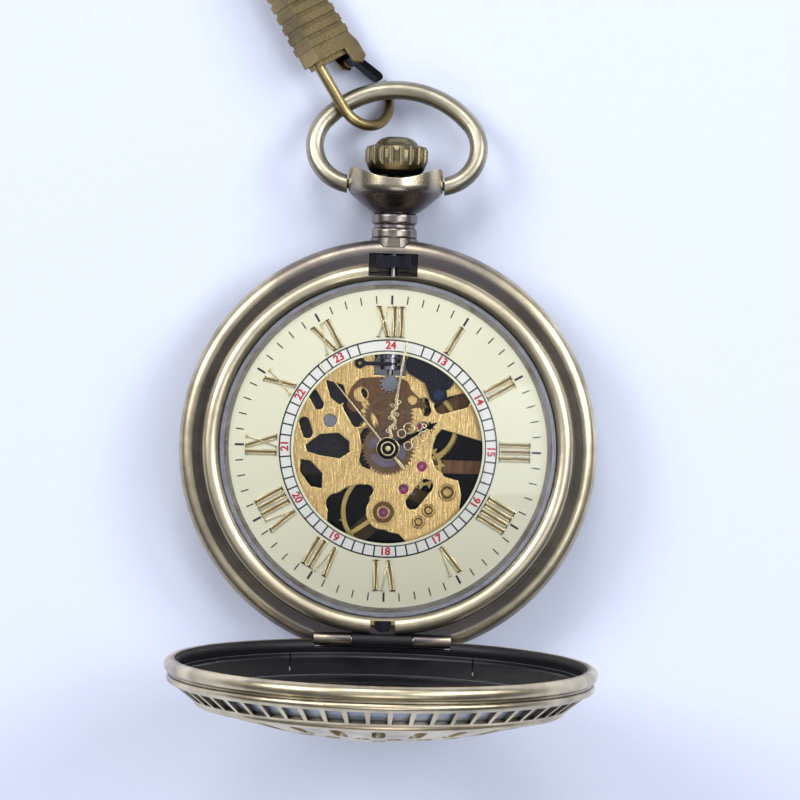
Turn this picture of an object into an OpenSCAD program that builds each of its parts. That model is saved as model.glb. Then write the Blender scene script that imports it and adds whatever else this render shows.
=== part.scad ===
// Skeleton hunter pocket watch with hinged openwork cover, bow and swivel clip.
// The watch lies on its back: +Z is towards the dial's viewer, +Y points to 12 and the pendant,
// and the origin is the centre of the plane that the back bezel rests on.

/* [Case] */
// Outside diameter of the case band
case_d = 47; // [47:0.1:48]
// Height of the plane where the cover closes on the case
rim_z = 8.2; // [8.2:0.05:8.4]
// Angle at which the front cover stands open
cover_open = 93.3; // [92:0.1:95]
// Number of windows in the sloped band of the cover
cover_windows = 58; // [48:1:60]
// Height of the cover's dome above the rim plane
cover_rise = 8.2; // [8.0:0.1:8.4]

/* [Dial] */
// Diameter of the opening in the dial
dial_opening_d = 21.3; // [21:0.1:21.5]
// Height of the applied Roman numerals
numeral_h = 3.5; // [3:0.1:3.6]
// Clock hour that the hands show, with its fraction
shown_hour = 2.02; // [0:0.01:12]
// Second that the seconds hand shows
shown_second = 53.3; // [0:0.1:60]

/* [Hands] */
// Length of the hour hand from its centre
hour_hand_l = 6.3; // [5.8:0.1:7]
// Length of the minute hand from its centre
minute_hand_l = 12.2; // [11.5:0.1:13]
// Length of the seconds hand from its centre
seconds_hand_l = 12.5; // [11.5:0.1:13]

/* [Pendant, bow and crown] */
// Number of flutes round the crown
crown_flutes = 20; // [18:1:22]
// Radius of the bow's wire
bow_wire_r = 1.05; // [0.95:0.05:1.1]
// Angle of the bow below the plane of the case
bow_tilt = 15; // [14:1:16]

/* [Clip] */
// Direction of the clip, turned from 12 towards 11
clip_turn = 31.9; // [30:0.1:33]
// Roll of the clip about its own length
clip_roll = 41; // [40:0.5:42]
// Number of ribs across the clip's sleeve
sleeve_ribs = 8; // [6:1:9]

/* [Hidden] */
$fn = 96;
case_r = case_d / 2;
bore_r = case_r - 3.5;
bezel_ro = case_r - 2.6;
bezel_ri = case_r - 4.6;
seat_z = 7.3;                       // floor of the groove that holds the front bezel
band_top = rim_z - 0.05;
hinge_y = 2 - case_r;
stem_z = 5.6;                       // height of the stem, the crown and the pendant's axis
knuckle_r = 0.75;
knuckle_in = 3.5;                   // inner end of the case's two knuckles
knuckle_out = 7.7;
notch_half = 9.65;                  // half width of the notch that the cover's bead swings in
pin_r = 0.35;
spring_root = -19.3;                // where the lift spring leaves the bezel's window
movement_r = 13.5;
plate_z0 = 5.8;
plate_z1 = 6.7;
bridge_z0 = 1.9;
bridge_z1 = 2.7;
dial_z0 = 7.5;
dial_z1 = 7.9;
dial_r = case_r - 5.55;
opening_r = dial_opening_d / 2;
numeral_r = 12.5;                   // inner radius of the Roman numerals
pivot_r = 0.12;                     // radius of the train's pivots
jewel_bore_r = 0.15;
jewel_r = 0.55;

// Places of the movement's arbors
centre_at = [0, 0];
barrel_at = [-6.6, 2.95];
third_at = [3.81, 2.57];
escape_at = [3.88, -1.92];
pallet_at = [1.89, -4.52];
balance_at = [-0.31, -7.21];
minute_at = [0, 3.6];
setting_at = [0, 7.35];
crown_wheel_at = [0, 8.4];
click_at = [-10.9, -1.6];
click_turn = atan2(click_at.x - barrel_at.x, barrel_at.y - click_at.y);
setting_lever_at = [2.6, 12.7];
yoke_at = [-3.4, 9.52];

// Heights of the escapement and balance
lever_z0 = 4.35;
lever_z1 = 4.65;
balance_z0 = 3.3;
balance_z1 = 3.7;
balance_rim_r = 4.8;
spring_z0 = 2.95;
keyless_z = 7.22;                   // underside of the keyless cover

// Bow: two side arcs and a flatter top arc, in the plane of the bow
bow_pivot_y = 29.7;
bow_side_r = 4.6;
bow_top_r = 10.731;
bow_top_y = 0.569;
bow_join = 40.24;                    // angle at which a side arc meets the top arc
bow_side_x = (bow_top_r - bow_side_r) * cos(bow_join);
bow_side_y = bow_top_y + (bow_top_r - bow_side_r) * sin(bow_join);
bow_end = -79.7;
bow_lap = 3;                        // angle by which a side arc runs into the top arc
bow_face_x = 5.5;
bow_pin_r = 0.5;

// Clip: its frame starts at the sleeve's lower end, +Y along the sleeve
clip_at = [-7.6, 43.7, 3.8];
hook_wire_r = 0.62;
hook_r = 3.5;
hook_x = 1.3;
hook_y = -5.3;
gate_at = [2.9, -0.8];
gate_tip = [4.8, -4.95];
sleeve_l = 14;

// ---------- shared shapes ----------

// Solid disc of radius r between two heights
module disc(r, z0, z1) {
  translate([0, 0, z0])
    cylinder(r = r, h = z1 - z0);
}

// Flat ring between two radii and two heights
module ring(ro, ri, z0, z1) {
  translate([0, 0, z0])
    linear_extrude(z1 - z0)
      difference() {
        circle(ro);
        circle(ri);
      }
}

// Block given by its low and high corners
module block(low, high) {
  translate(low)
    cube(high - low);
}

// Plate made from a flat outline between two heights
module sheet(z0, z1) {
  translate([0, 0, z0])
    linear_extrude(z1 - z0)
      children();
}

// Flat bar with round ends from a to b
module bar(a, b, w) {
  run = b - a;
  translate(a)
    circle(d = w);
  translate(b)
    circle(d = w);
  translate(a)
    rotate(atan2(run.y, run.x))
      translate([0, -w / 2])
        square([norm(run), w]);
}

// Shapes drawn about the stem's axis, with their own Z along +Y
module about_stem(y = 0) {
  translate([0, y, stem_z])
    rotate([-90, 0, 0])
      children();
}

// Round rod along the stem's axis
module stem_rod(r, y0, y1) {
  about_stem(y0)
    cylinder(r = r, h = y1 - y0);
}

// Round rod along X from x0 to x1
module cross_rod(r, x0, x1) {
  translate([x0, 0, 0])
    rotate([0, 90, 0])
      cylinder(r = r, h = x1 - x0);
}

// ---------- gears ----------

// Outline of a spur gear whose first tooth points at angle phase
function gear_points(teeth, m, phase, root = 0.29) =
  let (pitch = 360 / teeth, tip_r = m * (teeth / 2 + 0.85), root_r = m * (teeth / 2 - 1.25))
  [for (i = [0 : teeth - 1], side = [-root, -0.11, 0.11, root])
    let (a = phase + pitch * (i + side), r = abs(side) == root ? root_r : tip_r)
    r * [cos(a), sin(a)]];

// Module of two meshing gears at two places
function mesh_module(a, b, teeth_a, teeth_b) = 2 * norm(a - b) / (teeth_a + teeth_b);

// Phase that a gear at b needs to mesh with the gear at a
function mesh_phase(a, b, teeth_a, teeth_b, phase_a) =
  let (line = atan2(b.y - a.y, b.x - a.x))
  line + 180 - (phase_a - line) * teeth_a / teeth_b + 180 / teeth_b;

// Spoked wheel with its teeth, rim, spokes and hub as one flat shape
module wheel_outline(teeth, m, phase, spokes, rim, hub_r, spoke_w) {
  rim_r = m * (teeth / 2 - 1.25) - rim;
  difference() {
    polygon(gear_points(teeth, m, phase));
    difference() {
      circle(rim_r);
      circle(hub_r);
      for (i = [0 : spokes - 1])
        rotate(phase + 360 * i / spokes)
          translate([0, -spoke_w / 2])
            square([rim_r + 0.2, spoke_w]);
    }
  }
}

barrel_teeth = 78;
centre_pinion_teeth = 12;
centre_teeth = 80;
third_pinion_teeth = 10;
third_teeth = 75;
fourth_pinion_teeth = 10;
fourth_teeth = 80;
escape_pinion_teeth = 8;
cannon_teeth = 12;
minute_teeth = 36;
minute_pinion_teeth = 10;
hour_teeth = 40;
setting_teeth = 14;
crown_teeth = 32;
ratchet_teeth = 52;
winding_teeth = 13;
contrate_teeth = 20;
barrel_m = mesh_module(barrel_at, centre_at, barrel_teeth, centre_pinion_teeth);
centre_m = mesh_module(centre_at, third_at, centre_teeth, third_pinion_teeth);
third_m = mesh_module(third_at, centre_at, third_teeth, fourth_pinion_teeth);
fourth_m = mesh_module(centre_at, escape_at, fourth_teeth, escape_pinion_teeth);
minute_m = mesh_module(centre_at, minute_at, cannon_teeth, minute_teeth);
hour_m = mesh_module(minute_at, centre_at, minute_pinion_teeth, hour_teeth);
winding_m = mesh_module(crown_wheel_at, barrel_at, crown_teeth, ratchet_teeth);
barrel_phase = mesh_phase(centre_at, barrel_at, centre_pinion_teeth, barrel_teeth, 0);
third_pinion_phase = mesh_phase(centre_at, third_at, centre_teeth, third_pinion_teeth, 0);
fourth_pinion_phase = mesh_phase(third_at, centre_at, third_teeth, fourth_pinion_teeth, 0);
escape_pinion_phase = mesh_phase(centre_at, escape_at, fourth_teeth, escape_pinion_teeth, 0);
minute_phase = mesh_phase(centre_at, minute_at, cannon_teeth, minute_teeth, 0);
hour_phase = mesh_phase(minute_at, centre_at, minute_pinion_teeth, hour_teeth, 0);
setting_phase = mesh_phase(minute_at, setting_at, minute_teeth, setting_teeth, minute_phase);
ratchet_phase = mesh_phase(crown_wheel_at, barrel_at, crown_teeth, ratchet_teeth, 0);

// ---------- case ----------

// Notches that the cover's knuckle, bead and catch move in
module case_notches() {
  block([-notch_half, -case_r - 1, 6.0], [notch_half, hinge_y + 0.3, rim_z + 1]);
  block([-knuckle_in + 0.05, -case_r, rim_z - 0.85], [knuckle_in - 0.05, hinge_y + 0.82, rim_z + 2]);
  block([-2.75, bore_r - 0.7, 4.0], [2.75, case_r - 1.6, rim_z + 2]);
}

// Case band: a rounded tube section with two hinge knuckles
module mid_case() {
  color("#8f8572")
    difference() {
      union() {
        difference() {
          rotate_extrude()
            difference() {
              union() {
                translate([case_r - 1.25, band_top - 1.25])
                  circle(1.25);
                translate([case_r - 1.5, 3.9])
                  circle(1.5);
                translate([bore_r, 3.9])
                  square([case_r - bore_r, band_top - 5.15]);
                translate([bore_r, 2.4])
                  square([2.0, band_top - 2.4]);
              }
              translate([bore_r - 1, seat_z])
                square([bezel_ro - bore_r + 1.02, 3]);
            }
          case_notches();
        }
        for (side = [-1, 1])
          translate([side * (knuckle_in + knuckle_out) / 2, 0, 0])
            case_knuckle(knuckle_out - knuckle_in);
      }
      translate([0, hinge_y, rim_z])
        cross_rod(pin_r, -9, 9);
      stem_rod(1.2, bore_r - 2, case_r + 1);
      stem_rod(2.75, case_r - 0.9, case_r + 2);
    }
}

// One outer knuckle with the web that joins it to the band
module case_knuckle(w) {
  translate([0, hinge_y, rim_z])
    cross_rod(knuckle_r, -w / 2, w / 2);
  block([-w / 2, hinge_y - 0.5, 5.9], [w / 2, hinge_y + 0.55, rim_z]);
}

// Convex ring that holds the front crystal
module front_bezel() {
  color("#8a806c")
    difference() {
      rotate_extrude()
        union() {
          translate([(bezel_ro + bezel_ri) / 2, rim_z + 0.2])
            circle(1.0);
          translate([bezel_ri + 0.06, seat_z + 0.01])
            square([1.9, rim_z + 0.2 - seat_z]);
        }
      block([-2.75, bore_r - 0.7, seat_z - 1], [2.75, case_r, rim_z + 2]);
      block([-1.4, -case_r, seat_z - 1], [1.4, spring_root, rim_z + 2]);
      block([-4, -case_r, seat_z - 1], [4, hinge_y + 0.82, rim_z + 2]);
    }
}

// Domed front glass
module front_crystal() {
  glass_sphere_r = 83.8;
  glass_centre_z = 11.2 - glass_sphere_r;
  color("#dfe6ee", 0.35)
    rotate_extrude()
      difference() {
        intersection() {
          translate([0, glass_centre_z])
            circle(glass_sphere_r, $fn = 256);
          translate([0, 8.58])
            square([bezel_ri - 0.05, 4]);
        }
        translate([0, glass_centre_z])
          circle(glass_sphere_r - 0.8, $fn = 256);
      }
}

// Steel ring between the dial and the glass
module crystal_ring() {
  color("#50545f")
    rotate_extrude()
      polygon([[dial_r - 0.05, dial_z1 + 0.02], [bezel_ri - 0.02, dial_z1 + 0.02],
        [bezel_ri - 0.02, 8.56], [bezel_ri - 0.45, 8.56]]);
}

// Snap-on back bezel; its flat ring is the plane that the watch rests on
module back_bezel() {
  color("#8f8572")
    rotate_extrude()
      polygon([[17.6, 0.3], [18.4, 0.3], [18.4, 1.4], [19.0, 1.4], [19.0, 3.2], [bore_r - 0.03, 3.2],
        [bore_r - 0.03, 2.38], [case_r - 1.7, 2.38], [case_r - 1.55, 1.9], [case_r - 2.0, 0.9],
        [case_r - 2.9, 0], [18.6, 0], [17.6, 0.25]]);
}

// Flat display back
module back_crystal() {
  color("#dfe6ee", 0.35)
    disc(18.38, 0.32, 1.2);
}

// Ring that seats the movement in the case
module movement_ring() {
  color("#b7a06a")
    difference() {
      union() {
        ring(bore_r - 0.1, movement_r + 0.5, 3.3, 5.75);
        ring(bore_r - 0.1, movement_r + 0.03, 5.75, seat_z - 0.02);
        ring(18.5, movement_r + 0.03, seat_z - 0.03, 7.45);
      }
      stem_rod(1.2, 10, 21);
      block([-2.8, 19.1, 3], [2.8, 21, 8]);
    }
}

// ---------- dial ----------

// Dial with its round opening and raised inner rim
module dial() {
  color("#e4e2d2") {
    ring(dial_r, opening_r, dial_z0, dial_z1);
    ring(opening_r + 0.25, opening_r, dial_z1, dial_z1 + 0.08);
  }
}

// Straight stroke of a numeral, from its foot to its head
module stroke(x0, x1, w) {
  polygon([[x0 - w / 2, 0], [x0 + w / 2, 0], [x1 + w / 2, numeral_h], [x1 - w / 2, numeral_h]]);
}

// Letter shapes, each centred on x and standing on its foot
module letter_i(x) {
  stroke(x, x, 0.42);
  serifs(x, 0.62);
}
module letter_v(x) {
  stroke(x, x - 0.62, 0.42);
  stroke(x, x + 0.62, 0.24);
  serifs_at(x - 0.62, 0.55, numeral_h - 0.16);
  serifs_at(x + 0.62, 0.5, numeral_h - 0.16);
}
module letter_x(x) {
  stroke(x + 0.55, x - 0.55, 0.42);
  stroke(x - 0.55, x + 0.55, 0.24);
  serifs(x - 0.55, 0.5);
  serifs(x + 0.55, 0.5);
}
module serifs(x, w) {
  serifs_at(x, w, 0);
  serifs_at(x, w, numeral_h - 0.16);
}
module serifs_at(x, w, y) {
  translate([x - w / 2, y])
    square([w, 0.16]);
}

// Each numeral as the letters and their centres
module numeral(n) {
  if (n <= 4)
    for (i = [0 : n - 1])
      letter_i((i - (n - 1) / 2) * 0.75);
  if (n >= 5 && n <= 8) {
    letter_v(-(n - 5) * 0.38);
    for (i = [1 : 1 : n - 5])
      letter_i(0.55 + i * 0.75 - (n - 5) * 0.38);
  }
  if (n == 9) {
    letter_i(-0.75);
    letter_x(0.45);
  }
  if (n >= 10) {
    letter_x(-(n - 10) * 0.42);
    for (i = [1 : 1 : n - 10])
      letter_i(0.45 + i * 0.75 - (n - 10) * 0.42);
  }
}

// Twelve applied numerals whose feet point to the centre
module hour_numerals() {
  color("#b59a5a")
    sheet(dial_z1, dial_z1 + 0.2)
      for (n = [1 : 12])
        rotate(-30 * n)
          translate([0, numeral_r])
            numeral(n);
}

// ---------- movement: plate and bridges ----------

// Openings cut through the skeletonised main plate
module plate_openings() {
  polygon([[-7.2, 7.5], [-5.2, 7.0], [-4.7, 5.2], [-5.6, 4.8], [-6.7, 5.6]]);
  bar([-8.6, 5.9], [-7.9, 4.7], 1.1);
  bar([-9.5, 2.7], [-9.1, 1.5], 1.2);
  bar([-4.4, 4.6], [-3.5, 3.1], 1.6);
  bar([-2.5, 6.3], [-2.2, 6.0], 1.4);
  polygon([[-9.3, 0.1], [-7.7, 1.4], [-5.6, 1.6], [-4.4, 0.7], [-4.3, -0.5], [-5.4, -1.3], [-7.6, -1.0],
    [-9.1, -0.6]]);
  polygon([[-9.8, -1.5], [-8.7, -1.6], [-7.3, -3.0], [-7.3, -4.7], [-8.6, -4.5], [-9.8, -2.9]]);
  polygon([[-3.4, 2.1], [-2.1, 2.3], [-1.5, 1.1], [-1.4, -0.8], [-1.9, -2.4], [-3.3, -2.0], [-2.9, 0.1]]);
  bar([2.95, -6.0], [4.4, -4.1], 1.6);
  bar([5.9, 4.9], [8.3, 5.6], 1.7);
  bar([3.9, 5.3], [4.2, 4.3], 1.1);
  balance_opening();
  see_through_opening();
  keyless_opening();
  translate(centre_at)
    circle(0.42);
  translate(minute_at)
    circle(0.13);
  translate(barrel_at)
    circle(0.75);
  for (p = [third_at, escape_at, pallet_at, balance_at])
    translate(p)
      circle(jewel_r + 0.02);
}

// Large lower-left opening that shows the balance, round the balance jewel's boss
module balance_opening() {
  difference() {
    union() {
      polygon([[-5.6, -5.2], [-4.4, -4.4], [-3.0, -4.1], [-1.9, -4.2], [-1.9, -8.2], [0.4, -9.4],
        [1.5, -9.6], [2.3, -10.4], [2.0, -11.6], [-5.0, -10.9], [-6.6, -9.4], [-6.6, -7.4]]);
      translate([-2.2, -4.8])
        circle(0.7);
      translate([-5.6, -6.4])
        circle(1.2);
    }
    translate(balance_at)
      circle(1.95);
  }
}

// Opening on the right where the back glass shows through
module see_through_opening() {
  polygon([[5.4, 1.6], [6.0, 2.35], [11.4, 0.9], [11.9, -1.5], [11.2, -4.6], [9.9, -6.9], [8.2, -7.4],
    [8.4, -5.0], [8.0, -3.4], [6.5, -3.0], [5.3, -1.9], [4.9, -0.9], [5.1, 0.6]]);
}

// Opening round the winding and setting parts at 12
module keyless_opening() {
  translate([-1.8, 8.2])
    square([3.6, 6]);
  translate(setting_at)
    circle(0.35);
}

module main_plate() {
  color("#c9a35a") {
    difference() {
      sheet(plate_z0, plate_z1)
        difference() {
          circle(movement_r);
          plate_openings();
        }
      stem_rod(0.5, 10, 14);
    }
    translate([0, 0, plate_z1])
      for (p = [[6.81, -4.76, 0.85], [4.76, -6.84, 0.62], [3.68, -8.17, 0.6]])
        translate([p.x, p.y, 0])
          difference() {
            cylinder(r = p.z, h = 0.12);
            translate([0, 0, -0.01])
              cylinder(r = p.z * 0.45, h = 0.2);
          }
  }
}

// Jewel bearings with a through hole for the pivot
module jewels(places, z0, z1) {
  for (p = places)
    translate([p.x, p.y, 0])
      ring(jewel_r, jewel_bore_r, z0, z1);
}

module plate_jewels() {
  color("#7b2350")
    jewels([third_at, escape_at, pallet_at, balance_at], plate_z0 + 0.15, plate_z1 - 0.1);
}

module bridge_jewels() {
  color("#7b2350") {
    jewels([third_at, escape_at, centre_at], bridge_z0 + 0.1, bridge_z1 - 0.1);
    jewels([balance_at], bridge_z0 + 0.1, bridge_z1 - 0.1);
    jewels([pallet_at], 3.98, 4.22);
  }
}

// Curved foot along the movement's edge that lifts a bridge off the plate
module bridge_foot(a0, a1) {
  root_z = bridge_z1 - 0.2;
  translate([0, 0, root_z])
    rotate([0, 0, a0])
      rotate_extrude(angle = a1 - a0)
        translate([movement_r - 0.85, 0])
          square([0.65, plate_z0 - root_z]);
}

// Half-moon bridge over the barrel, the crown wheel and the click
module barrel_bridge() {
  color("#c9a35a")
    difference() {
      union() {
        sheet(bridge_z0, bridge_z1)
          difference() {
            circle(movement_r - 0.05);
            polygon([[-14, -3.4], [-6, -3.2], [-1.6, 1.2], [3.4, 5.6], [9.4, 10.6], [15, 12], [15, -15],
              [-14, -15]]);
          }
        bridge_foot(58, 80);
        bridge_foot(100, 128);
        bridge_foot(188, 193);
      }
      translate([barrel_at.x, barrel_at.y, 0])
        disc(0.8, 1, 4);
      translate([crown_wheel_at.x, crown_wheel_at.y, 0])
        disc(1.25, 1, 4);
      translate([click_at.x, click_at.y, 0])
        disc(0.3, 1, 4);
      screw_holes(barrel_bridge_screws);
      stem_rod(1.75, 9.8, 14);
    }
}

// Bridge that carries the centre, third and escape arbors on three arms
module train_bridge() {
  color("#c98f5c")
    difference() {
      union() {
        sheet(bridge_z0, bridge_z1) {
          difference() {
            circle(movement_r - 0.05);
            circle(movement_r - 1.5);
            polygon([[0, 0], [16, -13], [2, -22], [-22, -22], [-22, 22], [22, 20.5]]);
          }
          bar([0, 0], [3.6, 2.3], 1.8);
          bar([3.81, 2.57], [10.4, 7.2], 1.8);
          bar([3.88, -1.92], [12.4, -1.9], 1.5);
          bar([3.7, 2.4], [3.88, -1.92], 1.6);
        }
        bridge_foot(-38, -22);
        bridge_foot(18, 42);
      }
      for (p = [third_at, escape_at, centre_at])
        translate([p.x, p.y, 0])
          disc(jewel_r + 0.02, 1, 4);
      screw_holes(train_bridge_screws);
    }
}

// Cock that carries the balance
module balance_cock() {
  color("#c9a35a")
    difference() {
      union() {
        sheet(bridge_z0, bridge_z1) {
          bar(balance_at, [-4.6, -11.3], 2.2);
          translate([-4.9, -11.6])
            circle(0.8);
          difference() {
            circle(movement_r - 0.05);
            circle(movement_r - 1.6);
            polygon([[0, 0], [-14, -28], [-30, 10], [0, 40], [40, 0], [-1, -28]]);
          }
        }
        bridge_foot(-115, -96);
      }
      translate([balance_at.x, balance_at.y, 0])
        disc(jewel_r + 0.02, 1, 4);
      screw_holes(cock_screws);
    }
}

// Small cock under the pallet fork
module pallet_cock() {
  color("#c9a35a")
    difference() {
      union() {
        sheet(3.95, 4.25)
          bar(pallet_at, [6.4, -6.6], 1.5);
        translate([6.4, -6.6, 0])
          disc(0.75, 4.2, plate_z0);
      }
      translate([pallet_at.x, pallet_at.y, 0])
        disc(jewel_r + 0.02, 3, 4.4);
    }
}

// ---------- movement: screws ----------

barrel_bridge_screws = [[-8.2, 9.6], [6.3, 11.2], [-12.5, 0.3]];
train_bridge_screws = [[10.9, 6.6], [11.3, -5.2]];
cock_screws = [[-4.4, -12.0]];
dial_side_screws = [[5.49, 6.2], [-2.6, 11.6]];

module screw_holes(places) {
  for (p = places)
    translate([p.x, p.y, 0])
      disc(0.37, 1, 4);
}

// Slotted screw that clamps a bridge; its head stands on the bridge's outer face
module bridge_screw(turn) {
  difference() {
    disc(0.7, 1.5, bridge_z0);
    rotate([0, 0, turn])
      block([-1, -0.09, 1.3], [1, 0.09, 1.65]);
  }
  disc(0.35, bridge_z0 - 0.01, bridge_z1);
}

module movement_screws() {
  color("#5c6f9a") {
    for (i = [0 : 2])
      translate(concat(barrel_bridge_screws[i], 0))
        bridge_screw(40 * i);
    for (i = [0 : 1])
      translate(concat(train_bridge_screws[i], 0))
        bridge_screw(70 * i + 20);
    translate(concat(cock_screws[0], 0))
      bridge_screw(75);
    for (i = [0 : 1])
      translate(concat(dial_side_screws[i], keyless_z + 0.18))
        difference() {
          cylinder(r = 0.55, h = 0.08);
          rotate([0, 0, 35 + 60 * i])
            block([-1, -0.08, 0.04], [1, 0.08, 1]);
        }
  }
}

// ---------- movement: barrel and winding ----------

// Toothed drum with its cover; the mainspring lies inside
module barrel() {
  color("#c7a15a")
    translate([barrel_at.x, barrel_at.y, 0])
      difference() {
        union() {
          disc(5.9, 3.3, 4.9);
          sheet(4.4, 4.9)
            polygon(gear_points(barrel_teeth, barrel_m, barrel_phase));
        }
        disc(5.5, 3.5, 4.7);
        disc(0.85, 3, 6);
      }
}

// Coiled spring, drawn as closed turns
module mainspring() {
  color("#4a5361")
    translate([barrel_at.x, barrel_at.y, 0])
      for (r = [2.2 : 0.6 : 5.2])
        ring(r + 0.12, r - 0.12, 3.6, 4.6);
}

// Arbor in the middle of the barrel, squared to the ratchet wheel
module barrel_arbor() {
  color("#9aa0a8")
    translate([barrel_at.x, barrel_at.y, 0]) {
      disc(0.8, 2.85, 5.4);
      disc(0.75, bridge_z0, 2.85);
      disc(0.7, 5.4, plate_z1);
    }
}

module ratchet_wheel() {
  color("#8b9099")
    translate([barrel_at.x, barrel_at.y, 0])
      sheet(1.45, 1.85)
        difference() {
          polygon(gear_points(ratchet_teeth, winding_m, ratchet_phase));
          circle(0.3);
        }
}

module ratchet_screw() {
  color("#5c6f9a")
    translate([barrel_at.x, barrel_at.y, 0]) {
      difference() {
        disc(1.0, 1.25, 1.45);
        block([-1.2, -0.11, 1.2], [1.2, 0.11, 1.33]);
      }
      disc(0.29, 1.44, 1.88);
    }
}

// Two-faced wheel: spur teeth meet the ratchet wheel, face teeth meet the winding pinion
module crown_wheel() {
  color("#8b9099")
    translate([crown_wheel_at.x, crown_wheel_at.y, 0]) {
      sheet(1.45, 1.85)
        polygon(gear_points(crown_teeth, winding_m, 0));
      disc(1.2, 1.84, 3.6);
      disc(2.4, 3.55, 3.95);
      for (i = [0 : contrate_teeth - 1])
        rotate([0, 0, 90 + 360 * i / contrate_teeth])
          block([1.85, -0.1, 3.94], [2.4, 0.1, 4.15]);
    }
}

// Shapes drawn about the click's pivot; local +Y points to the barrel's axis
module at_click() {
  translate([click_at.x, click_at.y, 0])
    rotate([0, 0, click_turn])
      children();
}

// Pawl whose beak rests on the ratchet wheel's teeth
module click() {
  color("#8b9099")
    at_click() {
      sheet(1.45, 1.85)
        difference() {
          union() {
            circle(0.55);
            polygon([[-0.1, -0.5], [0.6, -0.3], [1.35, 0.7], [1.15, 0.86], [-0.3, 0.5]]);
          }
          circle(0.24);
        }
      disc(0.25, 1.25, 2.2);
      disc(0.4, 1.25, 1.46);
    }
}

// Bent wire that presses the click home
module click_spring() {
  color("#7d828c")
    at_click()
      sheet(1.5, 1.75) {
        bar([-1.1, -0.95], [0.9, -0.78], 0.18);
        translate([-1.1, -0.95])
          circle(0.3);
      }
}

// ---------- movement: going train ----------

// Arbor with a pivot at each end
module arbor(at, r, z0, z1, p0, p1) {
  translate([at.x, at.y, 0]) {
    disc(r, z0, z1);
    disc(pivot_r, p0, z0 + 0.01);
    disc(pivot_r, z1 - 0.01, p1);
  }
}

// Centre wheel on a hollow arbor
module centre_wheel() {
  color("#d3b36a")
    difference() {
      union() {
        sheet(5.35, 5.6)
          wheel_outline(centre_teeth, centre_m, 0, 4, 0.45, 1.0, 0.4);
        sheet(4.35, 4.95)
          polygon(gear_points(centre_pinion_teeth, barrel_m, 0, 0.26));
        disc(0.7, 4.9, 5.4);
        disc(0.37, 4.2, 8.9);
      }
      disc(0.2, 4, 9);
    }
}

// Cannon pinion, pressed over the centre arbor
module cannon_pinion() {
  color("#aeb2b8")
    difference() {
      union() {
        sheet(6.75, 7.0)
          polygon(gear_points(cannon_teeth, minute_m, 0, 0.26));
        disc(0.55, 6.75, 8.8);
      }
      disc(0.38, 6, 9);
    }
}

module third_wheel() {
  color("#d3b36a") {
    translate([third_at.x, third_at.y, 0]) {
      sheet(3.6, 3.8)
        wheel_outline(third_teeth, third_m, 0, 4, 0.4, 0.7, 0.35);
      sheet(5.2, 5.75)
        polygon(gear_points(third_pinion_teeth, centre_m, third_pinion_phase, 0.26));
    }
    arbor(third_at, 0.28, 2.75, 5.77, 2.1, 6.5);
  }
}

module fourth_wheel() {
  color("#d3b36a") {
    sheet(2.85, 3.05)
      wheel_outline(fourth_teeth, fourth_m, 0, 4, 0.4, 0.75, 0.35);
    sheet(3.45, 3.95)
      polygon(gear_points(fourth_pinion_teeth, third_m, fourth_pinion_phase, 0.26));
    disc(0.25, 2.75, 4.1);
    disc(pivot_r, 2.1, 2.8);
    disc(0.15, 4.1, 9.1);
  }
}

// Outline of the escape wheel's hooked teeth
function escape_points(teeth, tip_r, root_r) =
  [for (i = [0 : teeth - 1], k = [0 : 2])
    let (a = 360 / teeth * (i + [0, 0.1, 0.55][k]), r = [root_r, tip_r, root_r][k])
    r * [cos(a), sin(a)]];

module escape_wheel() {
  tip_r = 2.7;
  root_r = 2.2;
  color("#d3b36a") {
    translate([escape_at.x, escape_at.y, 0]) {
      sheet(4.4, 4.6)
        difference() {
          polygon(escape_points(15, tip_r, root_r));
          difference() {
            circle(root_r - 0.35);
            circle(0.5);
            for (i = [0 : 3])
              rotate(90 * i)
                translate([0, -0.14])
                  square([root_r, 0.28]);
          }
        }
      sheet(2.8, 3.15)
        polygon(gear_points(escape_pinion_teeth, fourth_m, escape_pinion_phase, 0.25));
    }
    arbor(escape_at, 0.17, 2.75, 5.2, 2.1, 6.5);
  }
}

// ---------- movement: escapement and balance ----------

lever_angle = atan2(balance_at.y - pallet_at.y, balance_at.x - pallet_at.x);
lever_l = norm(balance_at - pallet_at);
roller_pin_r = 0.9;                 // distance of the impulse pin from the balance's axis

// Lever with its two pallet arms and the forked end; local +X points to the balance
module pallet_fork() {
  color("#b9bdc4") {
    translate([pallet_at.x, pallet_at.y, 0])
      rotate([0, 0, lever_angle]) {
        sheet(lever_z0, lever_z1)
          difference() {
            union() {
              circle(0.45);
              bar([0, 0], [lever_l - roller_pin_r - 0.3, 0], 0.42);
              bar([0, 0], [-0.35, 1.2], 0.42);
              bar([0, 0], [-0.35, -1.2], 0.42);
              translate([lever_l - roller_pin_r - 0.45, -0.4])
                square([0.6, 0.8]);
            }
            translate([lever_l - roller_pin_r - 0.2, -0.22])
              square([1, 0.44]);
            for (side = [-1, 1])
              translate([-0.62, side * 1.2 - 0.12])
                square([0.4, 0.24]);
          }
      }
    arbor(pallet_at, 0.2, 4.24, 5.77, 4.0, 6.5);
  }
}

module pallet_stones() {
  color("#a3264f")
    translate([pallet_at.x, pallet_at.y, 0])
      rotate([0, 0, lever_angle])
        for (side = [-1, 1])
          block([-0.68, side * 1.2 - 0.1, lever_z0 + 0.02], [-0.3, side * 1.2 + 0.1, lever_z1 - 0.02]);
}

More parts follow.
